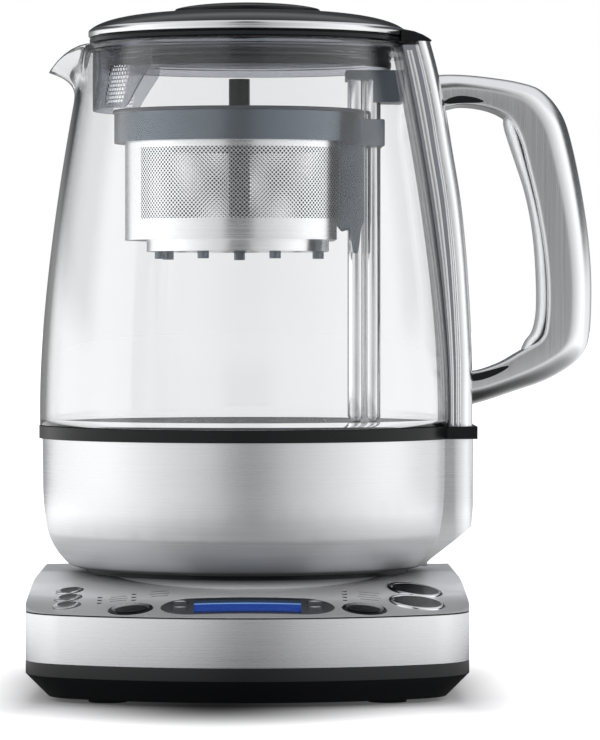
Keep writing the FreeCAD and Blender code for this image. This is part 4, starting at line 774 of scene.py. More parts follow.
MOULDED = {
    "chrome": dict(colour=(0.80, 0.81, 0.83), rough=(0.06, 0.12), spread=0.02, metal=1.0,
                   depth=0.002),
    "bezel grey": dict(colour=(0.052, 0.056, 0.062), rough=(0.32, 0.4)),
    "black satin": dict(colour=(0.005, 0.0055, 0.006), rough=(0.24, 0.32), shine=0.22),
    "black rubber": dict(colour=(0.014, 0.014, 0.015), rough=(0.65, 0.75), scale=1500.0, depth=0.01,
                         shine=0.3),
    "column lining": dict(colour=(0.15, 0.16, 0.18), spread=0.08),
    # Painted shade: near-black for the strainer's inner faces and hole edges, standing for the
    # shade inside the basket.
    "strainer inside": dict(colour=(0.02, 0.021, 0.024), rough=(0.4, 0.5), metal=0.3),
    "silicone": dict(colour=(0.09, 0.095, 0.10), rough=(0.5, 0.6)),
    "grip pale": dict(colour=(0.86, 0.87, 0.88), scale=1800.0, spread=0.04),
    "key dark": dict(colour=(0.05, 0.053, 0.06), rough=(0.3, 0.38)),
    "mark dark": dict(colour=(0.10, 0.102, 0.106), rough=(0.45, 0.55)),
    "mark pale": dict(colour=(0.88, 0.90, 0.92), rough=(0.4, 0.5), spread=0.03),
    "part white": dict(colour=(0.66, 0.66, 0.64), rough=(0.4, 0.5), spread=0.04),
    "board green": dict(colour=(0.01, 0.11, 0.05), rough=(0.35, 0.5), spread=0.3),
    "brass": dict(colour=(0.70, 0.47, 0.16), rough=(0.2, 0.3), metal=1.0, spread=0.06),
    "screw steel": dict(colour=(0.52, 0.53, 0.54), rough=(0.25, 0.4), metal=1.0, spread=0.08),
    "element steel": dict(colour=(0.34, 0.31, 0.28), rough=(0.35, 0.5), metal=1.0, spread=0.15),
    "magnet": dict(colour=(0.16, 0.16, 0.17), rough=(0.35, 0.45), metal=0.6),
    "pilot lamps": dict(colour=(0.035, 0.03, 0.032), rough=(0.2, 0.24), spread=0.05, coat=0.5),
}
MATERIALS = {}


def make_materials(colours):
    steel, slate, black, blue = (
        tuple(colour) for colour in (colours.steel, colours.slate, colours.black, colours.lit_blue))
    for name, settings in BRUSHED.items():
        MATERIALS[name] = brushed(name, **settings)
    for name, settings in MOULDED.items():
        MATERIALS[name] = moulded(name, **settings)
    for node, settings in DISHES.items():
        MATERIALS[node] = dished(node, *settings)
    MATERIALS.update({
        "brushed bowl": bowl_finish("brushed bowl", steel, AROUND),
        "brushed band": brushed("brushed band", tuple(1.14 * c for c in steel), AROUND, spread=0.05,
                                depth=0.012),
        "brushed deck": deck_finish("brushed deck", ALONG),
        "black housing": moulded("black housing", black, rough=(0.2, 0.28), shine=0.6),
        "slate plastic": moulded("slate plastic", slate, rough=(0.2, 0.26), spread=0.08,
                                 depth=0.0002, metal=0.75),
        "slate dark": moulded("slate dark", tuple(0.4 * c for c in slate), rough=(0.25, 0.34)),
        "lid cover": lid_finish("lid cover", (0.012, 0.014, 0.016), steel),
        "clear glass": clear("clear glass", (0.965, 0.972, 0.976)),
        "clear pane": clear("clear pane", (0.93, 0.96, 0.98), rough=0.02, ior=1.1),
        "smoked skirt": smoked_skirt("smoked skirt", (0.44, 0.455, 0.49)),
        "display": display_glow("display", blue),
    })


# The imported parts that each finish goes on.
FINISHES = {
    "brushed band": "base_band",
    "brushed bowl": "bowl_shell",
    "brushed deck": "base_deck",
    "satin steel": "handle_column handle_shell",
    "post steel": "lift_post",
    "inner steel": "heater_plate",
    "strainer steel": "basket_base basket_wall",
    **{node: node for node in DISHES},
    "chrome": "large_button_rings lid_trim",
    "bezel grey": "display_bezel",
    "black housing": "base_housing",
    "black satin": "lid_knob column_cap basket_stem foot_ring jug_collar medium_button_rings "
                   "power_connector",
    # The gap under deck_gasket is real, its black colour is painted shade for the crease between
    # deck and band.
    "black rubber": "base_feet deck_gasket cord_gland",
    "slate plastic": "column_liner basket_collar basket_bracket post_bracket basket_feet",
    "slate dark": "basket_lid",
    "lid cover": "lid_cover",
    "silicone": "plate_gasket",
    "grip pale": "handle_grip",
    "key dark": "arrow_key_left_up arrow_key_left_down arrow_key_right_up arrow_key_right_down",
    "part white": "button_guides power_supply jug_connector",
    "board green": "control_board",
    "brass": "connector_pins",
    "screw steel": "base_screws lift_screw lift_motor temperature_sensor",
    "element steel": "heating_element",
    "magnet": "magnet_carriage",
    "clear glass": "glass_jug",
    "clear pane": "lcd_window",
    "smoked skirt": "lid_skirt lid_seal",
    "display": "lcd_module",
    "pilot lamps": "indicator_lights",
}
FINISH_OF = {node: finish for finish, nodes in FINISHES.items() for node in nodes.split()}
SMOOTHED = ("base_band", "bowl_shell", "heater_plate", "basket_base", *DISHES, "display_bezel",
            "base_housing", "basket_stem", "jug_collar", "medium_button_rings", "power_connector",
            "base_feet", "deck_gasket", "cord_gland", "post_bracket", "basket_feet", "basket_lid",
            "lid_seal")


# ---------------------------------------------------------------- operators


class TEAMAKER_OT_finishes(bpy.types.Operator):
    """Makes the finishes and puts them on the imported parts"""
    bl_idname = "teamaker.finishes"
    bl_label = "Finish the packed parts"

    def execute(self, context):
        make_materials(context.scene.tea_maker_colours)
        left = set(frame["nodes"]) - set(FINISH_OF)
        if left:
            raise RuntimeError(f"no finish for {sorted(left)}")
        for node, finish in FINISH_OF.items():
            mesh = frame["nodes"][node].data
            mesh.materials.clear()
            mesh.materials.append(MATERIALS[finish])
        return {"FINISHED"}


def glass_wall_line():
    """The outer line of the glass as (radius, height), from its foot to its rim."""
    sizes = bpy.context.scene.tea_maker_sizes
    foot, top, wide = GLASS_LOW.z, GLASS_HIGH.z, GLASS_HIGH.x
    rim, straight = sizes.glass_rim_radius, foot + 7 * MM
    line = [(wide, foot + 0.4 * MM), (wide, foot + 3 * MM)]
    return line + bezier((wide, straight), (wide, straight + 50 * MM),
                         (rim + 7.9 * MM, top - 40 * MM), (rim, top - sizes.glass_wall / 2), 56)


def glass_radius(height):
    """Outer radius of the glass at a height."""
    line = glass_wall_line()
    if height <= line[0][1]:
        return line[0][0]
    for (radius, low), (after, high) in zip(line, line[1:]):
        if height <= high:
            return radius + (after - radius) * (height - low) / (high - low)
    return line[-1][0]


class TEAMAKER_OT_glass(bpy.types.Operator):
    """Turns the glass jug from its profile and draws the pouring lip out of its rim"""
    bl_idname = "teamaker.glass"
    bl_label = "Glass jug"

    def execute(self, context):
        sizes = context.scene.tea_maker_sizes
        wall = sizes.glass_wall
        foot, top, wide = GLASS_LOW.z, GLASS_HIGH.z, GLASS_HIGH.x
        outer = glass_wall_line()
        inner = []
        for index, (radius, height) in enumerate(outer):
            before = outer[max(index - 1, 0)]
            after = outer[min(index + 1, len(outer) - 1)]
            run = Vector((after[0] - before[0], after[1] - before[1])).normalized()
            inner.append((radius - run.y * wall, height + run.x * wall))
        end_out, end_in = Vector(outer[-1]), Vector(inner[-1])
        centre, half = (end_out + end_in) / 2, (end_out - end_in) / 2
        over = Vector((-half.y, half.x))
        rounded_rim = [tuple(centre + half * math.cos(turn) + over * math.sin(turn))
                       for turn in (math.pi * step / 8 for step in range(1, 8))]
        edge = 0.4 * MM
        foot_line = [(wide - wall, foot + edge), (wide - wall + edge, foot), (wide - edge, foot)]
        profile = outer + rounded_rim + inner[::-1] + foot_line + outer[:1]
        glass = spun("glass_jug_clear", profile, 192)
        lip_foot, reach_power, drop_power = top - 26 * MM, 2.2, 1.5
        for vertex in glass.data.vertices:
            x, y, z = vertex.co
            away = abs(math.atan2(y, -x))
            if z <= lip_foot or away >= sizes.spout_half_angle:
                continue
            bell = math.cos(away / sizes.spout_half_angle * math.pi / 2) ** 2
            share = (z - lip_foot) / (top - lip_foot)
            radius = math.hypot(x, y)
            wider = (radius + sizes.spout_reach * bell * share ** reach_power) / radius
            drop = sizes.spout_drop * bell ** 2 * share ** drop_power
            vertex.co = (x * wider, y * wider, z - drop)
        ready(glass, "jug", "glass_clear", "clear glass", "glass_jug", degrees=50)
        return {"FINISHED"}


# Pairs of (x, z) in millimetres down the handle, on its outer line and on its inner line.
HANDLE_SPINE = (((74.5, 262.0), (76.5, 247.6)), ((82, 263.2), (84, 248.2)),
                ((91, 263.3), (91, 249.6)), ((103, 262.2), (99.8, 248.8)),
                ((116.6, 260.0), (107.2, 246.4)),
                ((126.3, 256.3), (112.4, 242.4)), ((134.7, 246.3), (116.2, 235.0)),
                ((139.4, 231.9), (119.3, 223.5)), ((143.9, 209.4), (123.4, 206.5)),
                ((146.6, 189), (126.5, 188.0)), ((147.5, 170), (127.8, 170)),
                ((146.4, 150.6), (127.1, 155.4)), ((142.3, 142.0), (124.8, 149.9)),
                ((134.6, 136), (120.6, 147.0)), ((125.6, 131.5), (115.3, 144.0)),
                ((114.3, 127.7), (108.5, 140.1)), ((103, 123.9), (99.8, 136.9)),
                ((95.4, 121.9), (93, 136.0)), ((89.0, 121.0), (88, 135.8)))
GRIP_SPINE = (((113.4, 245.2), (110.4, 246.6)), ((114.4, 241.4), (109.9, 241.6)),
              ((117.4, 231.0), (113.3, 230.6)), ((121.6, 215), (118.5, 215)),
              ((124.8, 201.5), (121.5, 201.5)), ((127.0, 187.9), (123.2, 187.9)),
              ((128.1, 172.1), (124.0, 172.1)), ((127.9, 160.9), (123.8, 160.9)),
              ((126.0, 152.6), (122.2, 153.6)), ((122.8, 148.2), (119.2, 149.4)),
              ((119.6, 145.0), (117.6, 145.8)))


def spine_lines(spine):
    return through([pair[0] for pair in spine]), through([pair[1] for pair in spine])


def off_spine(outer, inner, across, y):
    """A point between a spine's lines: across is 1 on the outer line and -1 on the inner one."""
    (x1, z1), (x2, z2) = outer, inner
    return (MM * ((x1 + x2) / 2 + (x1 - x2) / 2 * across), y,
            MM * ((z1 + z2) / 2 + (z1 - z2) / 2 * across))


def lofted_loop(name, spine, half_wide, fullness, boxiness, around):
    """A bar between two lines in the side plane, oval outside and squarer on its inner side."""
    rings = []
    for outer, inner in zip(*spine_lines(spine)):
        ring = []
        for turn in (math.tau * step / around for step in range(around)):
            power = boxiness if math.cos(turn) < 0 else fullness
            across = math.copysign(abs(math.cos(turn)) ** power, math.cos(turn))
            aside = math.copysign(abs(math.sin(turn)) ** power, math.sin(turn))
            ring.append(off_spine(outer, inner, across, half_wide * aside))
        rings.append(ring)
    return lofted(name, rings)


def handle_slot_shade(name, first, last, half_wide, near=0.40, far=0.86, across=6):
    """A thin dark sheet of painted shade standing for a slot, pointed at its ends, low on both
    flanks of one of the handle's arms.
    """
    outer, inner = spine_lines(HANDLE_SPINE)
    proud, pointed, thick = 0.06 * MM, 0.03, 0.5 * MM
    flanks = []
    for side in (1, -1):
        points = []
        for index in range(first, last + 1):
            share = (index - first) / (last - first)
            half = (far - near) / 2 * max(math.sin(math.pi * share), pointed) ** 0.5
            for step in range(across + 1):
                inward = -((near + far) / 2 + half * (2 * step / across - 1))
                points.append(
                    off_spine(outer[index], inner[index], inward, -side * (half_wide + proud)))
        flank = meshed(name, points, [], grid_faces(last - first, across))
        for face in flank.data.polygons:
            if face.normal.y * side > 0:
                face.flip()
        modify(flank, "SOLIDIFY", thickness=thick, offset=-1)
        flanks.append(flank)
    return joined(flanks)


class TEAMAKER_OT_handle(bpy.types.Operator):
    """Shapes the handle loop along its spine and lays the grip and the dark sheets of painted slot
    shade into it
    """
    bl_idname = "teamaker.handle"
    bl_label = "Handle and grip"

    def execute(self, context):
        sizes, boxiness, grip_half_wide = context.scene.tea_maker_sizes, 0.13, 10.5 * MM
        handle = lofted_loop("handle_loop", HANDLE_SPINE, sizes.handle_half_wide,
                             sizes.handle_fullness, boxiness, 96)
        ready(handle, "jug", "satin_handle", "satin steel", "handle_shell", degrees=60)
        grip = lofted_loop("handle_grip_strip", GRIP_SPINE, grip_half_wide, 0.6, 0.6, 48)
        ready(grip, "jug", "smoke_grey", "grip pale", "handle_grip", degrees=60)
        # The places on the spine's line where each sheet of painted slot shade starts and ends.
        for name, first, last in (("handle_slot_upper", 5, 15), ("handle_slot_lower", 74, 87)):
            slot = handle_slot_shade(name, first, last, sizes.handle_half_wide)
            ready(slot, "jug", "black_satin", "black satin", degrees=40)
        return {"FINISHED"}


# The column's outer line as (x, z), the cover's half width, fold and rounding, and the lining's
# half width and its distance behind the cover, all in millimetres.
COLUMN_OUTER = ((77.6, 276.4), (80.9, 264), (84.4, 247), (87.2, 230), (90.6, 209.4), (92.9, 188),
                (94.2, 170), (95.1, 153), (95.6, 138), (95.6, 125), (95.6, 111))
COLUMN_HALF, COLUMN_FOLD, COLUMN_ROUND, LINING_HALF, LINING_BACK = 24.5, 5.2, 8.0, 24.0, 7.4


def column_loft(name, section_at, first=0, last=None):
    """A skin down the column, from level sections of (x, y) in millimetres."""
    return lofted(name, [[(px * MM, py * MM, z * MM) for px, py in section_at(x, z)]
                         for x, z in through(COLUMN_OUTER)[first:last]])


def cover_section(x, z):
    edge = [(x - COLUMN_FOLD + COLUMN_FOLD * math.sin(turn),
             COLUMN_HALF - COLUMN_ROUND * (1 - math.cos(turn)))
            for turn in (math.pi / 2 * step / 10 for step in range(11))]
    section = [(x - COLUMN_FOLD - 0.6, COLUMN_HALF - 0.5)] + edge
    return section + [(px, -py) for px, py in section[::-1]]


def lining_section(x, z):
    glass = glass_radius(z * MM) / MM + 0.12
    turns = [math.asin(LINING_HALF / glass) * (1 - step / 6) for step in range(13)]
    return ([(x - LINING_BACK, -LINING_HALF), (x - LINING_BACK, LINING_HALF)]
            + [(glass * math.cos(turn), glass * math.sin(turn)) for turn in turns])


def lip_section(x, z):
    return [(x - COLUMN_FOLD - 1.35 + 0.95 * math.cos(turn), side * 23.6 + 0.85 * math.sin(turn))
            for side, start in ((-1, math.pi), (1, 0))
            for turn in (start + math.pi * step / 6 for step in range(7))]


def line_section(side):
    """A fine raised line on one side of the lining, between the glass and the steel cover."""
    def section_at(x, z):
        inner = math.sqrt((glass_radius(z * MM) / MM) ** 2 - LINING_HALF ** 2) + 0.2
        room = x - LINING_BACK - inner
        middle, wide = inner + 0.45 * room, 0.22 * room
        return [(middle + share * wide, side * y) for share, y in (
            (-1, 23.8), (-1, 24.2), (-0.5, 24.4), (0.5, 24.4), (1, 24.2), (1, 23.8))]
    return section_at


class TEAMAKER_OT_column(bpy.types.Operator):
    """Bends the steel cover down the handle side and folds it over the lining's edges"""
    bl_idname = "teamaker.column"
    bl_label = "Handle column"

    def execute(self, context):
        cover = column_loft("handle_column_cover", cover_section)
        ready(cover, "jug", "satin_handle", "satin steel", "handle_column", degrees=40)
        liner = column_loft("column_lining", lining_section, 1, -1)
        ready(liner, "jug", "smoke_grey", "column lining", "column_liner", degrees=40)
        lips = joined([column_loft("column_lip", lip_section, 1, -1),
                       column_loft("column_line", line_section(-1), 2, -1),
                       column_loft("column_line", line_section(1), 2, -1)])
        ready(lips, "jug", "chrome_trim", "satin steel", degrees=40)

        rings = []
        for step in range(15):
            y = 20.5 * (step / 7 - 1)
            inner = math.sqrt(68.4 ** 2 - y ** 2)
            trim = 0.5 if step in (0, 14) else 0.0
            wedge = [(inner, 276.4), (inner, 281.9 - trim), (70.8, 281.0 - trim),
                     (74.4, 279.6 - trim), (77.2, 278.0 - trim), (78.2, 277.0), (77.8, 276.4)]
            rings.append(in_mm((x, y, z) for x, z in wedge))
        ready(lofted("column_cap_wedge", rings), "jug", "black_satin", "black satin", "column_cap",
              degrees=40)
        return {"FINISHED"}


def skirt_ring():
    """The ribbed ring that hangs inside the glass under the lid."""
    ridges = [(61.6, 282.0)]
    for height in (275.4, 273.1, 270.8, 268.5):
        ridges += [(61.6, height + 0.9), (61.0, height + 0.5), (61.0, height - 0.1),
                   (61.6, height - 0.5)]
    ridges += [(61.6, 266.0), (61.2, 265.2), (60.6, 265.0), (60.0, 265.2), (59.8, 266.0),
               (59.8, 282.0), (61.6, 282.0)]
    return spun("lid_skirt_ring", in_mm(ridges), 128)


def filter_flap(widest, narrow=math.radians(41), columns=64, rows=14):
    """The curved flap with the pouring filter, cut away at its lower corners."""
    high, low, radius = 271.4, 247.2, 66.3
    cut_high, cut_power, bulge, bulge_at, bulge_half = 17.5, 0.92, 0.8, 0.06, 0.1
    points = []
    for column in range(columns + 1):
        turn = widest * (2 * column / columns - 1)
        past = max(0.0, (abs(turn) - narrow) / (widest - narrow))
        start = (low + cut_high * past ** cut_power
                 + bulge * max(0.0, 1 - abs(past - bulge_at) / bulge_half))
        points += [(-radius * math.cos(turn), radius * math.sin(turn),
                    start + (high - start) * row / rows) for row in range(rows + 1)]
    flap = meshed("lid_filter_flap", in_mm(points), [], grid_faces(columns, rows))
    with editing():
        pass
    out = flap.data.polygons[columns * rows // 2].normal
    modify(flap, "SOLIDIFY", thickness=0.7 * MM, offset=-1 if out.x < 0 else 1)
    return flap


class TEAMAKER_OT_lid(bpy.types.Operator):
    """Turns the lid's cover and knob, and makes the smoked skirt with its pouring filter"""
    bl_idname = "teamaker.lid"
    bl_label = "Lid"

    def execute(self, context):
        cover = spun("lid_dome", in_mm(
            [(0, 282.2), (62.6, 282.2), (62.6, 276.3), (66.8, 276.3), (67.4, 276.6), (67.6, 277.2),
             (67.6, 278.1), (67.1, 278.35), (67.1, 278.75), (67.7, 279.0), (68.1, 279.5),
             (68.1, 281.2), (67.9, 281.8), (67.3, 282.3)]
            + bezier((67.1, 282.45), (62.5, 286.2), (50, 289.0), (30.0, 289.35), 18)
            + [(0, 289.4)]))
        ready(cover, "lid", "lid_grey", "lid cover", "lid_cover", "lid_trim", degrees=40)
        knob = spun("lid_knob_disc", in_mm(
            [(0, 289.0), (30.9, 289.0), (31.3, 289.5), (31.3, 290.3), (31.0, 290.9)]
            + bezier((30.6, 291.2), (26, 292.6), (14, 293.75), (0, 293.75), 14)))
        ready(knob, "lid", "black_satin", "black satin", "lid_knob", degrees=40)
        widest = math.radians(53)
        ledge = spun_arc("lid_flap_ledge", in_mm([(61.0, 271.2), (66.3, 271.2), (66.3, 269.9),
                                                  (61.0, 269.9)]), math.pi - widest, 2 * widest)
        skirt = joined([skirt_ring(), filter_flap(widest), ledge])
        ready(skirt, "lid", "smoke_grey", "smoked skirt", "lid_skirt", degrees=35)
        return {"FINISHED"}


class TEAMAKER_OT_collar(bpy.types.Operator):
    """Smooths the strainer's collar and lays a fine lip round its top edge"""
    bl_idname = "teamaker.collar"
    bl_label = "Strainer collar"

    def execute(self, context):
        softened("basket_collar")
        low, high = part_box("basket_collar")
        post_gap = math.radians(28)
        lip = spun_arc("basket_collar_lip", [(high.y + x * MM, high.z + z * MM) for x, z in (
            (-1.0, -1.5), (0.0, -1.5), (0.45, -1.1), (0.5, -0.4), (0.1, 0.15), (-1.0, 0.2))],
            post_gap, math.tau - 2 * post_gap)
        for vertex in lip.data.vertices:
            vertex.co.x += low.x + high.y
        ready(lip, "basket", "smoke_grey", "slate dark", degrees=40)
        return {"FINISHED"}


class TEAMAKER_OT_rounded(bpy.types.Operator):
    """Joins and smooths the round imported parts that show"""
    bl_idname = "teamaker.rounded"
    bl_label = "Smooth the round parts"

    def execute(self, context):
        for node in SMOOTHED:
            softened(node)
        return {"FINISHED"}


class TEAMAKER_OT_foot(bpy.types.Operator):
    """Rounds the bowl under to its foot and sets the dark foot ring inside it"""
    bl_idname = "teamaker.foot"
    bl_label = "Bowl's foot"

    def execute(self, context):
        under = spun("bowl_underside", in_mm(
            [(77.7, 55.2)] + bezier((77.1, 54.6), (75.4, 53.2), (72.4, 52.45), (68.8, 52.3), 12)
            + [(67.4, 52.4), (67.4, 53.0), (76.0, 55.2), (77.7, 55.2)]))
        ready(under, "jug", "brushed_bowl", "brushed bowl", degrees=40)
        ring = spun("foot_ring_dark", in_mm(
            [(69.0, 53.6), (69.0, 51.0), (68.6, 50.5), (60.5, 50.5), (60.0, 51.0), (60.0, 53.6),
             (69.0, 53.6)]))
        ready(ring, "jug", "rubber_black", "black satin", "foot_ring", degrees=40)
        return {"FINISHED"}


def clamped(value):
    return min(max(value, 0.0), 1.0)


def fuller_shoulder(place):
    """Lifts the deck's side shoulders so that they stay upright and then round over."""
    x, y, z = (value / MM for value in place)
    deck_foot, lift, highest = 40, 2.3, 50.1
    if z < deck_foot:
        return place
    wide = DECK_HALF_WIDE / MM - abs(x)
    across = min(wide / 1.2, 1.0) * clamped((14 - wide) / 11)
    along = clamped((y + 60) / 50) * clamped((92 - y) / 20)
    return Vector((place.x, place.y, MM * min(z + lift * across * along, highest)))


def round_rim(node, inner, outer, height):
    """A half-round rim that lies on the deck round one button and leans as the deck does."""
    x, y = middle_of(*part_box(node))
    middle, half = (inner + outer) / 2, (outer - inner) / 2
    section = [(middle + half * math.cos(turn), height * math.sin(turn))
               for turn in (math.pi * step / 8 for step in range(9))]
    sunk = -0.6 * MM
    section += [(inner, sunk), (outer, sunk), section[0]]
    rim = spun(f"{node}_rim", section, 72)
    reach, back = outer + 1.0 * MM, 8 * MM
    heights = {(i, j): surface_at("base_deck", x + i * reach, y + j * back)
               for i in (-1, 1) for j in (-1, 1)}
    level = sum(heights.values()) / 4
    lean_x = sum(i * value for (i, _), value in heights.items()) / (4 * reach)
    lean_y = sum(j * value for (_, j), value in heights.items()) / (4 * back)
    for vertex in rim.data.vertices:
        dx, dy, dz = vertex.co
        vertex.co = (x + dx, y + dy, level + dz + dx * lean_x + dy * lean_y)
    return rim


class TEAMAKER_OT_deck(bpy.types.Operator):
    """Smooths the deck with fuller shoulders and sets the rings round the buttons"""
    bl_idname = "teamaker.deck"
    bl_label = "Deck and button rings"

    def execute(self, context):
        softened("base_deck", fuller_shoulder)
        for node in ("large_button_back", "large_button_front"):
            low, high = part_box(node)
            inner = (high.x - low.x) / 2 - 1.3 * MM
            rim = round_rim(node, inner, inner + 1.9 * MM, 1.0 * MM)
            ready(rim, "base", "chrome_trim", "chrome", "large_button_rings", degrees=40)
        # The dark rims round the small keys are painted shade, standing for the shade in the narrow
        # gap round each key.
        for node in ("small_button_back", "small_button_mid", "small_button_front"):
            rim = round_rim(node, 5.0 * MM, 5.9 * MM, 0.35 * MM)
            ready(rim, "base", "bezel_grey", "bezel grey", degrees=40)
        return {"FINISHED"}


class TEAMAKER_OT_post(bpy.types.Operator):
    """Makes the lift post of two rounded bars side by side"""
    bl_idname = "teamaker.post"
    bl_label = "Lift post"

    def execute(self, context):
        low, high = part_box("lift_post")
        middle, slot = low.x + 0.52 * (high.x - low.x), 0.25 * MM
        post = joined([
            block("lift_post_bars", low, (middle - slot, high.y, high.z), 3.1 * MM, 8),
            block("lift_post_bar", (middle + slot, low.y, low.z), high, 2.9 * MM, 8),
            block("lift_post_core", (middle - 2 * MM, low.y + 2.5 * MM, low.z + 0.1 * MM),
                  (middle + 2 * MM, high.y - 2.5 * MM, high.z - 3 * MM)),
        ])
        ready(post, "jug", "post_steel", "post steel", "lift_post", degrees=40)
        return {"FINISHED"}


BRACKET_CHEEK = ((37.9, 247.4), (49.5, 247.4), (49.5, 243.6), (58.2, 243.6), (58.2, 232.0),
                 (49.5, 232.0), (49.5, 200.4), (48.3, 197.6), (47.6, 191.0), (46.9, 186.6),
                 (44.9, 186.6), (44.3, 191.0), (43.6, 197.0), (40.6, 196.2), (37.9, 199.6))
BRACKET_WEB = ((37.9, 247.2), (42.3, 247.2), (42.3, 200), (37.9, 200))


class TEAMAKER_OT_bracket(bpy.types.Operator):
    """Makes the slide that carries the strainer: two cheeks and a web round the post"""
    bl_idname = "teamaker.bracket"
    bl_label = "Strainer slide"

    def execute(self, context):
        low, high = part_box("basket_bracket")
        cheek, inset = 10.3 * MM, 0.8 * MM
        slide = joined([
            side_slab("basket_slide", in_mm(BRACKET_CHEEK), low.y, -cheek, 0.7 * MM),
            side_slab("basket_slide_back", in_mm(BRACKET_CHEEK), cheek, high.y, 0.7 * MM),
            side_slab("basket_slide_web", in_mm(BRACKET_WEB), low.y + inset, high.y - inset,
                      0.6 * MM),
        ])
        ready(slide, "basket", "smoke_grey", "slate plastic", "basket_bracket", degrees=40)
        return {"FINISHED"}


def punched_cell(pitch, row, hole):
    """One cell of the strainer: a rectangle with a round hole, its outline from a small grid."""
    deselect_all()
    bpy.ops.mesh.primitive_grid_add(x_subdivisions=2, y_subdivisions=2, size=1)
    grid = bpy.context.object
    edge = [((vertex.co.x + 0.5) * pitch, (vertex.co.y + 0.5) * row, 0)
            for vertex in grid.data.vertices if max(abs(vertex.co.x), abs(vertex.co.y)) > 0.4]
    bpy.data.objects.remove(grid)
    edge.sort(key=lambda place: math.atan2(place[1] - row / 2, place[0] - pitch / 2))
    points = []
    for index, place in enumerate(edge):
        turn = math.tau * index / len(edge) - math.pi
        points += [place, (pitch / 2 + hole * math.cos(turn), row / 2 + hole * math.sin(turn), 0)]
    last = len(points)
    faces = [(index, (index + 2) % last, (index + 3) % last, index + 1)
             for index in range(0, last, 2)]
    return meshed("strainer_mesh", points, [], faces)


class TEAMAKER_OT_strainer(bpy.types.Operator):
    """Punches the strainer's wall hole by hole and wraps it round the basket"""
    bl_idname = "teamaker.strainer"
    bl_label = "Strainer wall"

    def execute(self, context):
        sizes = context.scene.tea_maker_sizes
        pitch, row = sizes.hole_pitch, sizes.hole_pitch / 2
        middle, radius = MESH_LOW.x + MESH_HIGH.y, MESH_HIGH.y - 0.05 * MM
        corner = math.acos((MESH_HIGH.x - middle) / radius)
        low, high = MESH_LOW.z, MESH_HIGH.z
        band_top, field_top = low + 7.7 * MM, high - 1.2 * MM
        field_turn = math.radians(118)
        columns = int(radius * field_turn / pitch)
        pairs = int((field_top - band_top) / row) // 2
        field_high = band_top + pairs * 2 * row
        wide = (columns + 0.5) * pitch
        half, edge = wide / 2 / radius, 0.9 * pitch / radius

        front = punched_cell(pitch, row, pitch * sizes.hole_share / 2)
        for count, step in ((columns, (pitch, 0, 0)), (2, (pitch / 2, row, 0)),
                            (pairs, (0, 2 * row, 0))):
            modify(front, "ARRAY", count=count, use_relative_offset=False, use_constant_offset=True,
                   constant_offset_displace=step, use_merge_vertices=True,
                   merge_threshold=0.01 * MM)
        back = new_piece("strainer_mesh", front.data.copy())
        for piece, facing in ((front, -math.pi / 2), (back, math.pi / 2)):
            for vertex in piece.data.vertices:
                turn = facing + (vertex.co.x - wide / 2) / radius
                vertex.co = (middle + radius * math.cos(turn), radius * math.sin(turn),
                             band_top + vertex.co.y)

        def arc(start, end, steps):
            turns = [start + (end - start) * step / steps for step in range(steps + 1)]
            return [(middle + radius * math.cos(turn), radius * math.sin(turn)) for turn in turns]

        def strip(path, bottom, top, closed):
            piece = drawn("strainer_strip", [(x, y, bottom) for x, y in path], closed=closed)
            with editing(outwards=False):
                bpy.ops.mesh.extrude_region_move(
                    TRANSFORM_OT_translate={"value": (0, 0, top - bottom)})
            return piece

        whole = arc(corner, math.tau - corner, 96)
        spout_side = arc(math.pi / 2 + half - edge, 3 * math.pi / 2 - half + edge, 30)
        post_side = (arc(-math.pi / 2 + half - edge, -corner, 6)
                     + arc(corner, math.pi / 2 - half + edge, 6))
        bands = [strip(whole, low + 0.02 * MM, band_top + 0.3 * MM, True),
                 strip(whole, field_high - 0.3 * MM, high, True),
                 strip(spout_side, band_top, field_high, False),
                 strip(post_side, band_top, field_high, False)]
        for name, parts in (("strainer_front", [front]), ("strainer_back", [back]),
                            ("strainer_bands", bands)):
            self.finish_wall(name, joined(parts), middle)
        return {"FINISHED"}

    def finish_wall(self, name, wall, middle):
        """Turns a wall's faces away from the basket's axis and gives it its thickness."""
        wall.name = name
        with editing(merge=0.01 * MM, outwards=False):
            pass
        mesh = bmesh.new()
        mesh.from_mesh(wall.data)
        for face in mesh.faces:
            out = face.calc_center_median() - Vector((middle, 0, 0))
            if face.normal.x * out.x + face.normal.y * out.y < 0:
                face.normal_flip()
        mesh.to_mesh(wall.data)
        mesh.free()
        # The inner faces and the hole edges take the painted shade of the basket's inside.
        wall.data.materials.clear()
        wall.data.materials.append(MATERIALS["strainer steel"])
        wall.data.materials.append(MATERIALS["strainer inside"])
        modify(wall, "SOLIDIFY", thickness=0.5 * MM, offset=-1, material_offset=1,
               material_offset_rim=1)
        smooth(wall, 30)
        sides = [face.material_index for face in wall.data.polygons]
        ready(wall, "basket", "basket_steel", "strainer steel", "basket_wall")
        wall.data.materials.append(MATERIALS["strainer inside"])
        for face, index in zip(wall.data.polygons, sides):
            face.material_index = index


def laid_plate(name, node, corners, thick):
    """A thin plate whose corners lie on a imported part's surface."""
    sunk = 0.04 * MM
    return plate(name, [(x, y, surface_at(node, x, y) - sunk) for x, y in corners], (0, 0, thick))


# Plain dashes beside the pilot lamps: left end, distance from the middle, length.
DASHES = ((-53.5, -62.2, 6.5), (-53.5, -65.6, 8.0), (-53.5, -69.0, 7.0),
          (-36.5, -58.6, 7.5), (-36.5, -62.4, 8.5), (-36.5, -66.2, 7.0),
          (50.5, -56.5, 9.0), (50.5, -60.5, 8.0), (50.5, -64.5, 9.5), (50.5, -68.5, 7.5))
DASH_HALF_DEEP = 0.24


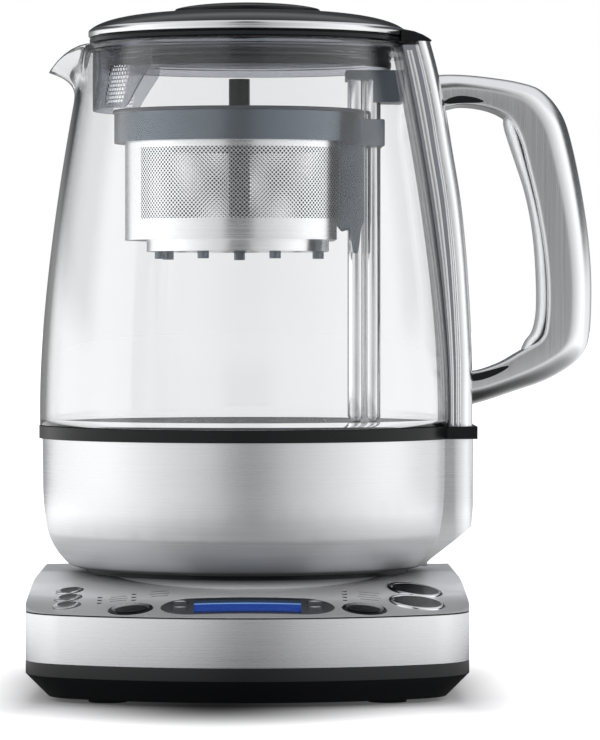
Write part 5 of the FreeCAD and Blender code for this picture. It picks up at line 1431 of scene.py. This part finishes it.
class TEAMAKER_OT_marks(bpy.types.Operator):
    """Raises the arrows on the keys and prints plain dashes beside the pilot lamps"""
    bl_idname = "teamaker.marks"
    bl_label = "Panel marks"

    def execute(self, context):
        for side in ("left", "right"):
            for way, tip in (("up", 1), ("down", -1)):
                node = f"arrow_key_{side}_{way}"
                x, y = middle_of(*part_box(node))
                corners = [(x, y + tip * 1.7 * MM), (x - 2.1 * MM, y - tip * 1.3 * MM),
                           (x + 2.1 * MM, y - tip * 1.3 * MM)]
                arrow = laid_plate(f"arrow_mark_{side}_{way}", node, corners, 0.16 * MM)
                ready(arrow, f"{node}_body", "clear_pane", "mark pale")
        for index, (x, y, length) in enumerate(DASHES):
            half, deep = length / 2, DASH_HALF_DEEP
            corners = in_mm([(x - half, y - deep), (x + half, y - deep), (x + half, y + deep),
                             (x - half, y + deep)])
            dash = laid_plate(f"panel_dash_{index + 1:02d}", "base_deck", corners, 0.1 * MM)
            ready(dash, "base", "bezel_grey", "mark dark")
        return {"FINISHED"}


# ---------------------------------------------------------------- studio


# The soft shadow in front of the base, and where the floor starts to lift to white beside it.
POOL_CENTRE, POOL_REACH = (-0.012, -0.09, 0), (0.10, 0.15, 1)
FLOOR_LIFT = (("X", 0.088, 0.040), ("Y", 0.086, 0.085))
# Name, place, size and power.
LAMPS = (("key_lamp", (-1.7, -1.1, 1.5), 1.6, 7), ("fill_lamp", (1.6, -1.3, 1.1), 1.4, 5),
         ("top_lamp", (0.1, 0.2, 2.2), 1.8, 6), ("front_lamp", (0.1, -2.2, 0.5), 1.2, 24))
LAMP_AIM = Vector((0, 0, 0.13))


def lay_floor():
    """A pale floor that keeps the shadow, and that clear parts and mirrors see as a studio. It has
    a painted shadow pool in front of the base, a glow for the camera painted dimmer near the base,
    and a mirrored look painted darker near the object.
    """
    deselect_all()
    bpy.ops.mesh.primitive_plane_add(size=60)
    floor = bpy.context.object
    floor.name = "studio_floor"
    material, tree, look = new_material("studio floor", Roughness=0.9, Specular_IOR_Level=0.1)
    place = object_place(tree)
    cloud = put(tree, "ShaderNodeTexNoise", Vector=place, Scale=1.5, Detail=2.0).outputs["Fac"]
    # Painted shadow: the pool darkens the floor's colour in front of the base.
    from_pool = vector_maths(tree, "DIVIDE", vector_maths(tree, "SUBTRACT", place, POOL_CENTRE),
                             POOL_REACH)
    pool = eased(tree, vector_maths(tree, "LENGTH", from_pool), 0, 1, 1, 0)
    feed(tree, mixed(tree, pool, toned(tree, cloud, (0.85, 0.85, 0.855), 0.01),
                     (0.04, 0.04, 0.042)), look["Base Color"])

    # Painted shade: the glow that lifts the floor to white for the camera is dimmer near the base
    # and in the pool.
    axes, past = axes_of(tree, place), []
    for axis, edge, reach in FLOOR_LIFT:
        beyond = maths(tree, "SUBTRACT", maths(tree, "ABSOLUTE", axes[axis]), edge)
        past.append(maths(tree, "MAXIMUM", maths(tree, "DIVIDE", beyond, reach), 0))
    clear_of = vector_maths(tree, "LENGTH", put(tree, "ShaderNodeCombineXYZ", *past).outputs[0])
    lift = maths(tree, "MULTIPLY", ranged(tree, clear_of, 0, 1, 0.10, 0.85),
                 maths(tree, "MULTIPLY_ADD", pool, -0.9, 1.0))
    rays, passing, mirrored = ray_kinds(tree)
    seen = maths(tree, "MULTIPLY", rays["Is Camera Ray"], lift)
    strength = maths(tree, "MULTIPLY_ADD", passing, 0.51, seen)
    glow = put(tree, "ShaderNodeEmission", Strength=strength)
    lit = put(tree, "ShaderNodeAddShader", tree.nodes["Principled BSDF"].outputs[0],
              glow.outputs[0])

    far = vector_maths(tree, "LENGTH", place)
    aside = put(tree, "ShaderNodeCombineXYZ", ranged(tree, far, 0.6, 1.5, 2.2, 1.0), 1.0, 1.0)
    direction = vector_maths(tree, "MULTIPLY", place, aside.outputs[0])
    sweep = grouped(tree, sweep_group, "Floor sweep", Direction=direction)["Tone"]
    # Painted shadow: what mirrors see of the floor is darker close to the object.
    shown(tree, mirrored, lit, put(tree, "ShaderNodeEmission", Color=sweep,
                                   Strength=ranged(tree, far, 0.15, 0.5, 0.03, 1.0)))
    floor.data.materials.append(material)
    floor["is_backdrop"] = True


def surround(scene):
    """White behind the object, and soft bright and dark fields for the metal and the glass."""
    world = bpy.data.worlds.new("studio")
    scene.world = world
    world.use_nodes = True
    tree = world.node_tree
    direction = put(tree, "ShaderNodeTexCoord").outputs["Generated"]
    axes = axes_of(tree, direction)
    sweep, floor_sweep = (grouped(tree, sweep_group, name, Direction=direction)["Tone"]
                          for name in ("Wall sweep", "Floor sweep"))
    low_sky = mixed(tree, eased(tree, axes["Y"], 0.0, 0.3), floor_sweep, (0.07, 0.075, 0.08))
    wall = mixed(tree, eased(tree, axes["Z"], 0.05, 0.12), sweep, low_sky)
    overhead = mixed(tree, eased(tree, axes["Y"], -0.35, 0.0), sweep, (0.86, 0.87, 0.89))
    around = mixed(tree, eased(tree, axes["Z"], 0.40, 0.60), wall, overhead)
    rays, passing, mirrored = ray_kinds(tree)
    reflected = mixed(tree, mirrored, (0.45, 0.45, 0.46), around)
    behind = eased(tree, axes["Y"], 0.55, 0.93, 0.14, 0.9)
    colour = mixed(tree, rays["Is Camera Ray"], mixed(tree, passing, reflected, behind), (1, 1, 1))
    back = tree.nodes["Background"].inputs
    feed(tree, colour, back["Color"])
    back["Strength"].default_value = 1.0
    world.cycles.sampling_method = "NONE"


def hang_lamp(name, place, size, power):
    deselect_all()
    bpy.ops.object.light_add(type="AREA", location=place)
    lamp = bpy.context.object
    lamp.name = name
    lamp.data.size = size
    lamp.data.energy = power
    lamp.visible_glossy = lamp.visible_transmission = lamp.visible_camera = False
    aim = LAMP_AIM - Vector(place)
    lamp.rotation_euler = aim.to_track_quat("-Z", "Y").to_euler()


def set_camera(scene):
    data = bpy.data.cameras.new("studio_camera")
    data.sensor_fit = "AUTO"
    data.sensor_width = 36
    data.lens = 218.9
    camera = bpy.data.objects.new("studio_camera", data)
    tipped, turned = math.radians(90 - 0.764), math.radians(-0.668)
    camera.location = (0, -1.930, 0.1625)
    camera.rotation_euler = (tipped, 0, turned)
    scene.collection.objects.link(camera)
    scene.camera = camera


class TEAMAKER_OT_stage(bpy.types.Operator):
    """Lays the floor, lights the studio and sets the camera"""
    bl_idname = "teamaker.stage"
    bl_label = "Studio"

    def execute(self, context):
        lay_floor()
        surround(context.scene)
        for lamp in LAMPS:
            hang_lamp(*lamp)
        set_camera(context.scene)
        context.scene.view_settings.view_transform = "Standard"
        return {"FINISHED"}


class TEAMAKER_PT_looks(bpy.types.Panel):
    bl_idname = "TEAMAKER_PT_looks"
    bl_label = "Tea maker"
    bl_space_type = "VIEW_3D"
    bl_region_type = "UI"
    bl_category = "Tea maker"

    def draw(self, context):
        column = self.layout.column()
        for settings in (context.scene.tea_maker_sizes, context.scene.tea_maker_colours):
            for name in settings.__annotations__:
                column.prop(settings, name)
        for operator in OPERATORS:
            column.operator(operator.bl_idname)


OPERATORS = (TEAMAKER_OT_finishes, TEAMAKER_OT_glass, TEAMAKER_OT_handle, TEAMAKER_OT_column,
             TEAMAKER_OT_lid, TEAMAKER_OT_collar, TEAMAKER_OT_rounded, TEAMAKER_OT_foot,
             TEAMAKER_OT_deck, TEAMAKER_OT_post, TEAMAKER_OT_bracket, TEAMAKER_OT_strainer,
             TEAMAKER_OT_marks, TEAMAKER_OT_stage)
CLASSES = (TeaMakerSizes, TeaMakerColours) + OPERATORS + (TEAMAKER_PT_looks,)


def register():
    for item in CLASSES:
        bpy.utils.register_class(item)
    bpy.types.Scene.tea_maker_sizes = PointerProperty(type=TeaMakerSizes)
    bpy.types.Scene.tea_maker_colours = PointerProperty(type=TeaMakerColours)


def unregister():
    del bpy.types.Scene.tea_maker_colours
    del bpy.types.Scene.tea_maker_sizes
    for item in reversed(CLASSES):
        bpy.utils.unregister_class(item)


def corners(box):
    return [list(map(float, corner)) for corner in box]


def main():
    register()
    bpy.ops.teamaker.finishes()
    bpy.ops.teamaker.glass()
    bpy.ops.teamaker.handle()
    bpy.ops.teamaker.column()
    bpy.ops.teamaker.lid()
    bpy.ops.teamaker.collar()
    bpy.ops.teamaker.rounded()
    bpy.ops.teamaker.foot()
    bpy.ops.teamaker.deck()
    bpy.ops.teamaker.post()
    bpy.ops.teamaker.bracket()
    bpy.ops.teamaker.strainer()
    bpy.ops.teamaker.marks()
    bpy.ops.teamaker.stage()
    {"cad": corners(CAD_BOX), "visual": corners(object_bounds())}


if __name__ == "__main__":
    main()
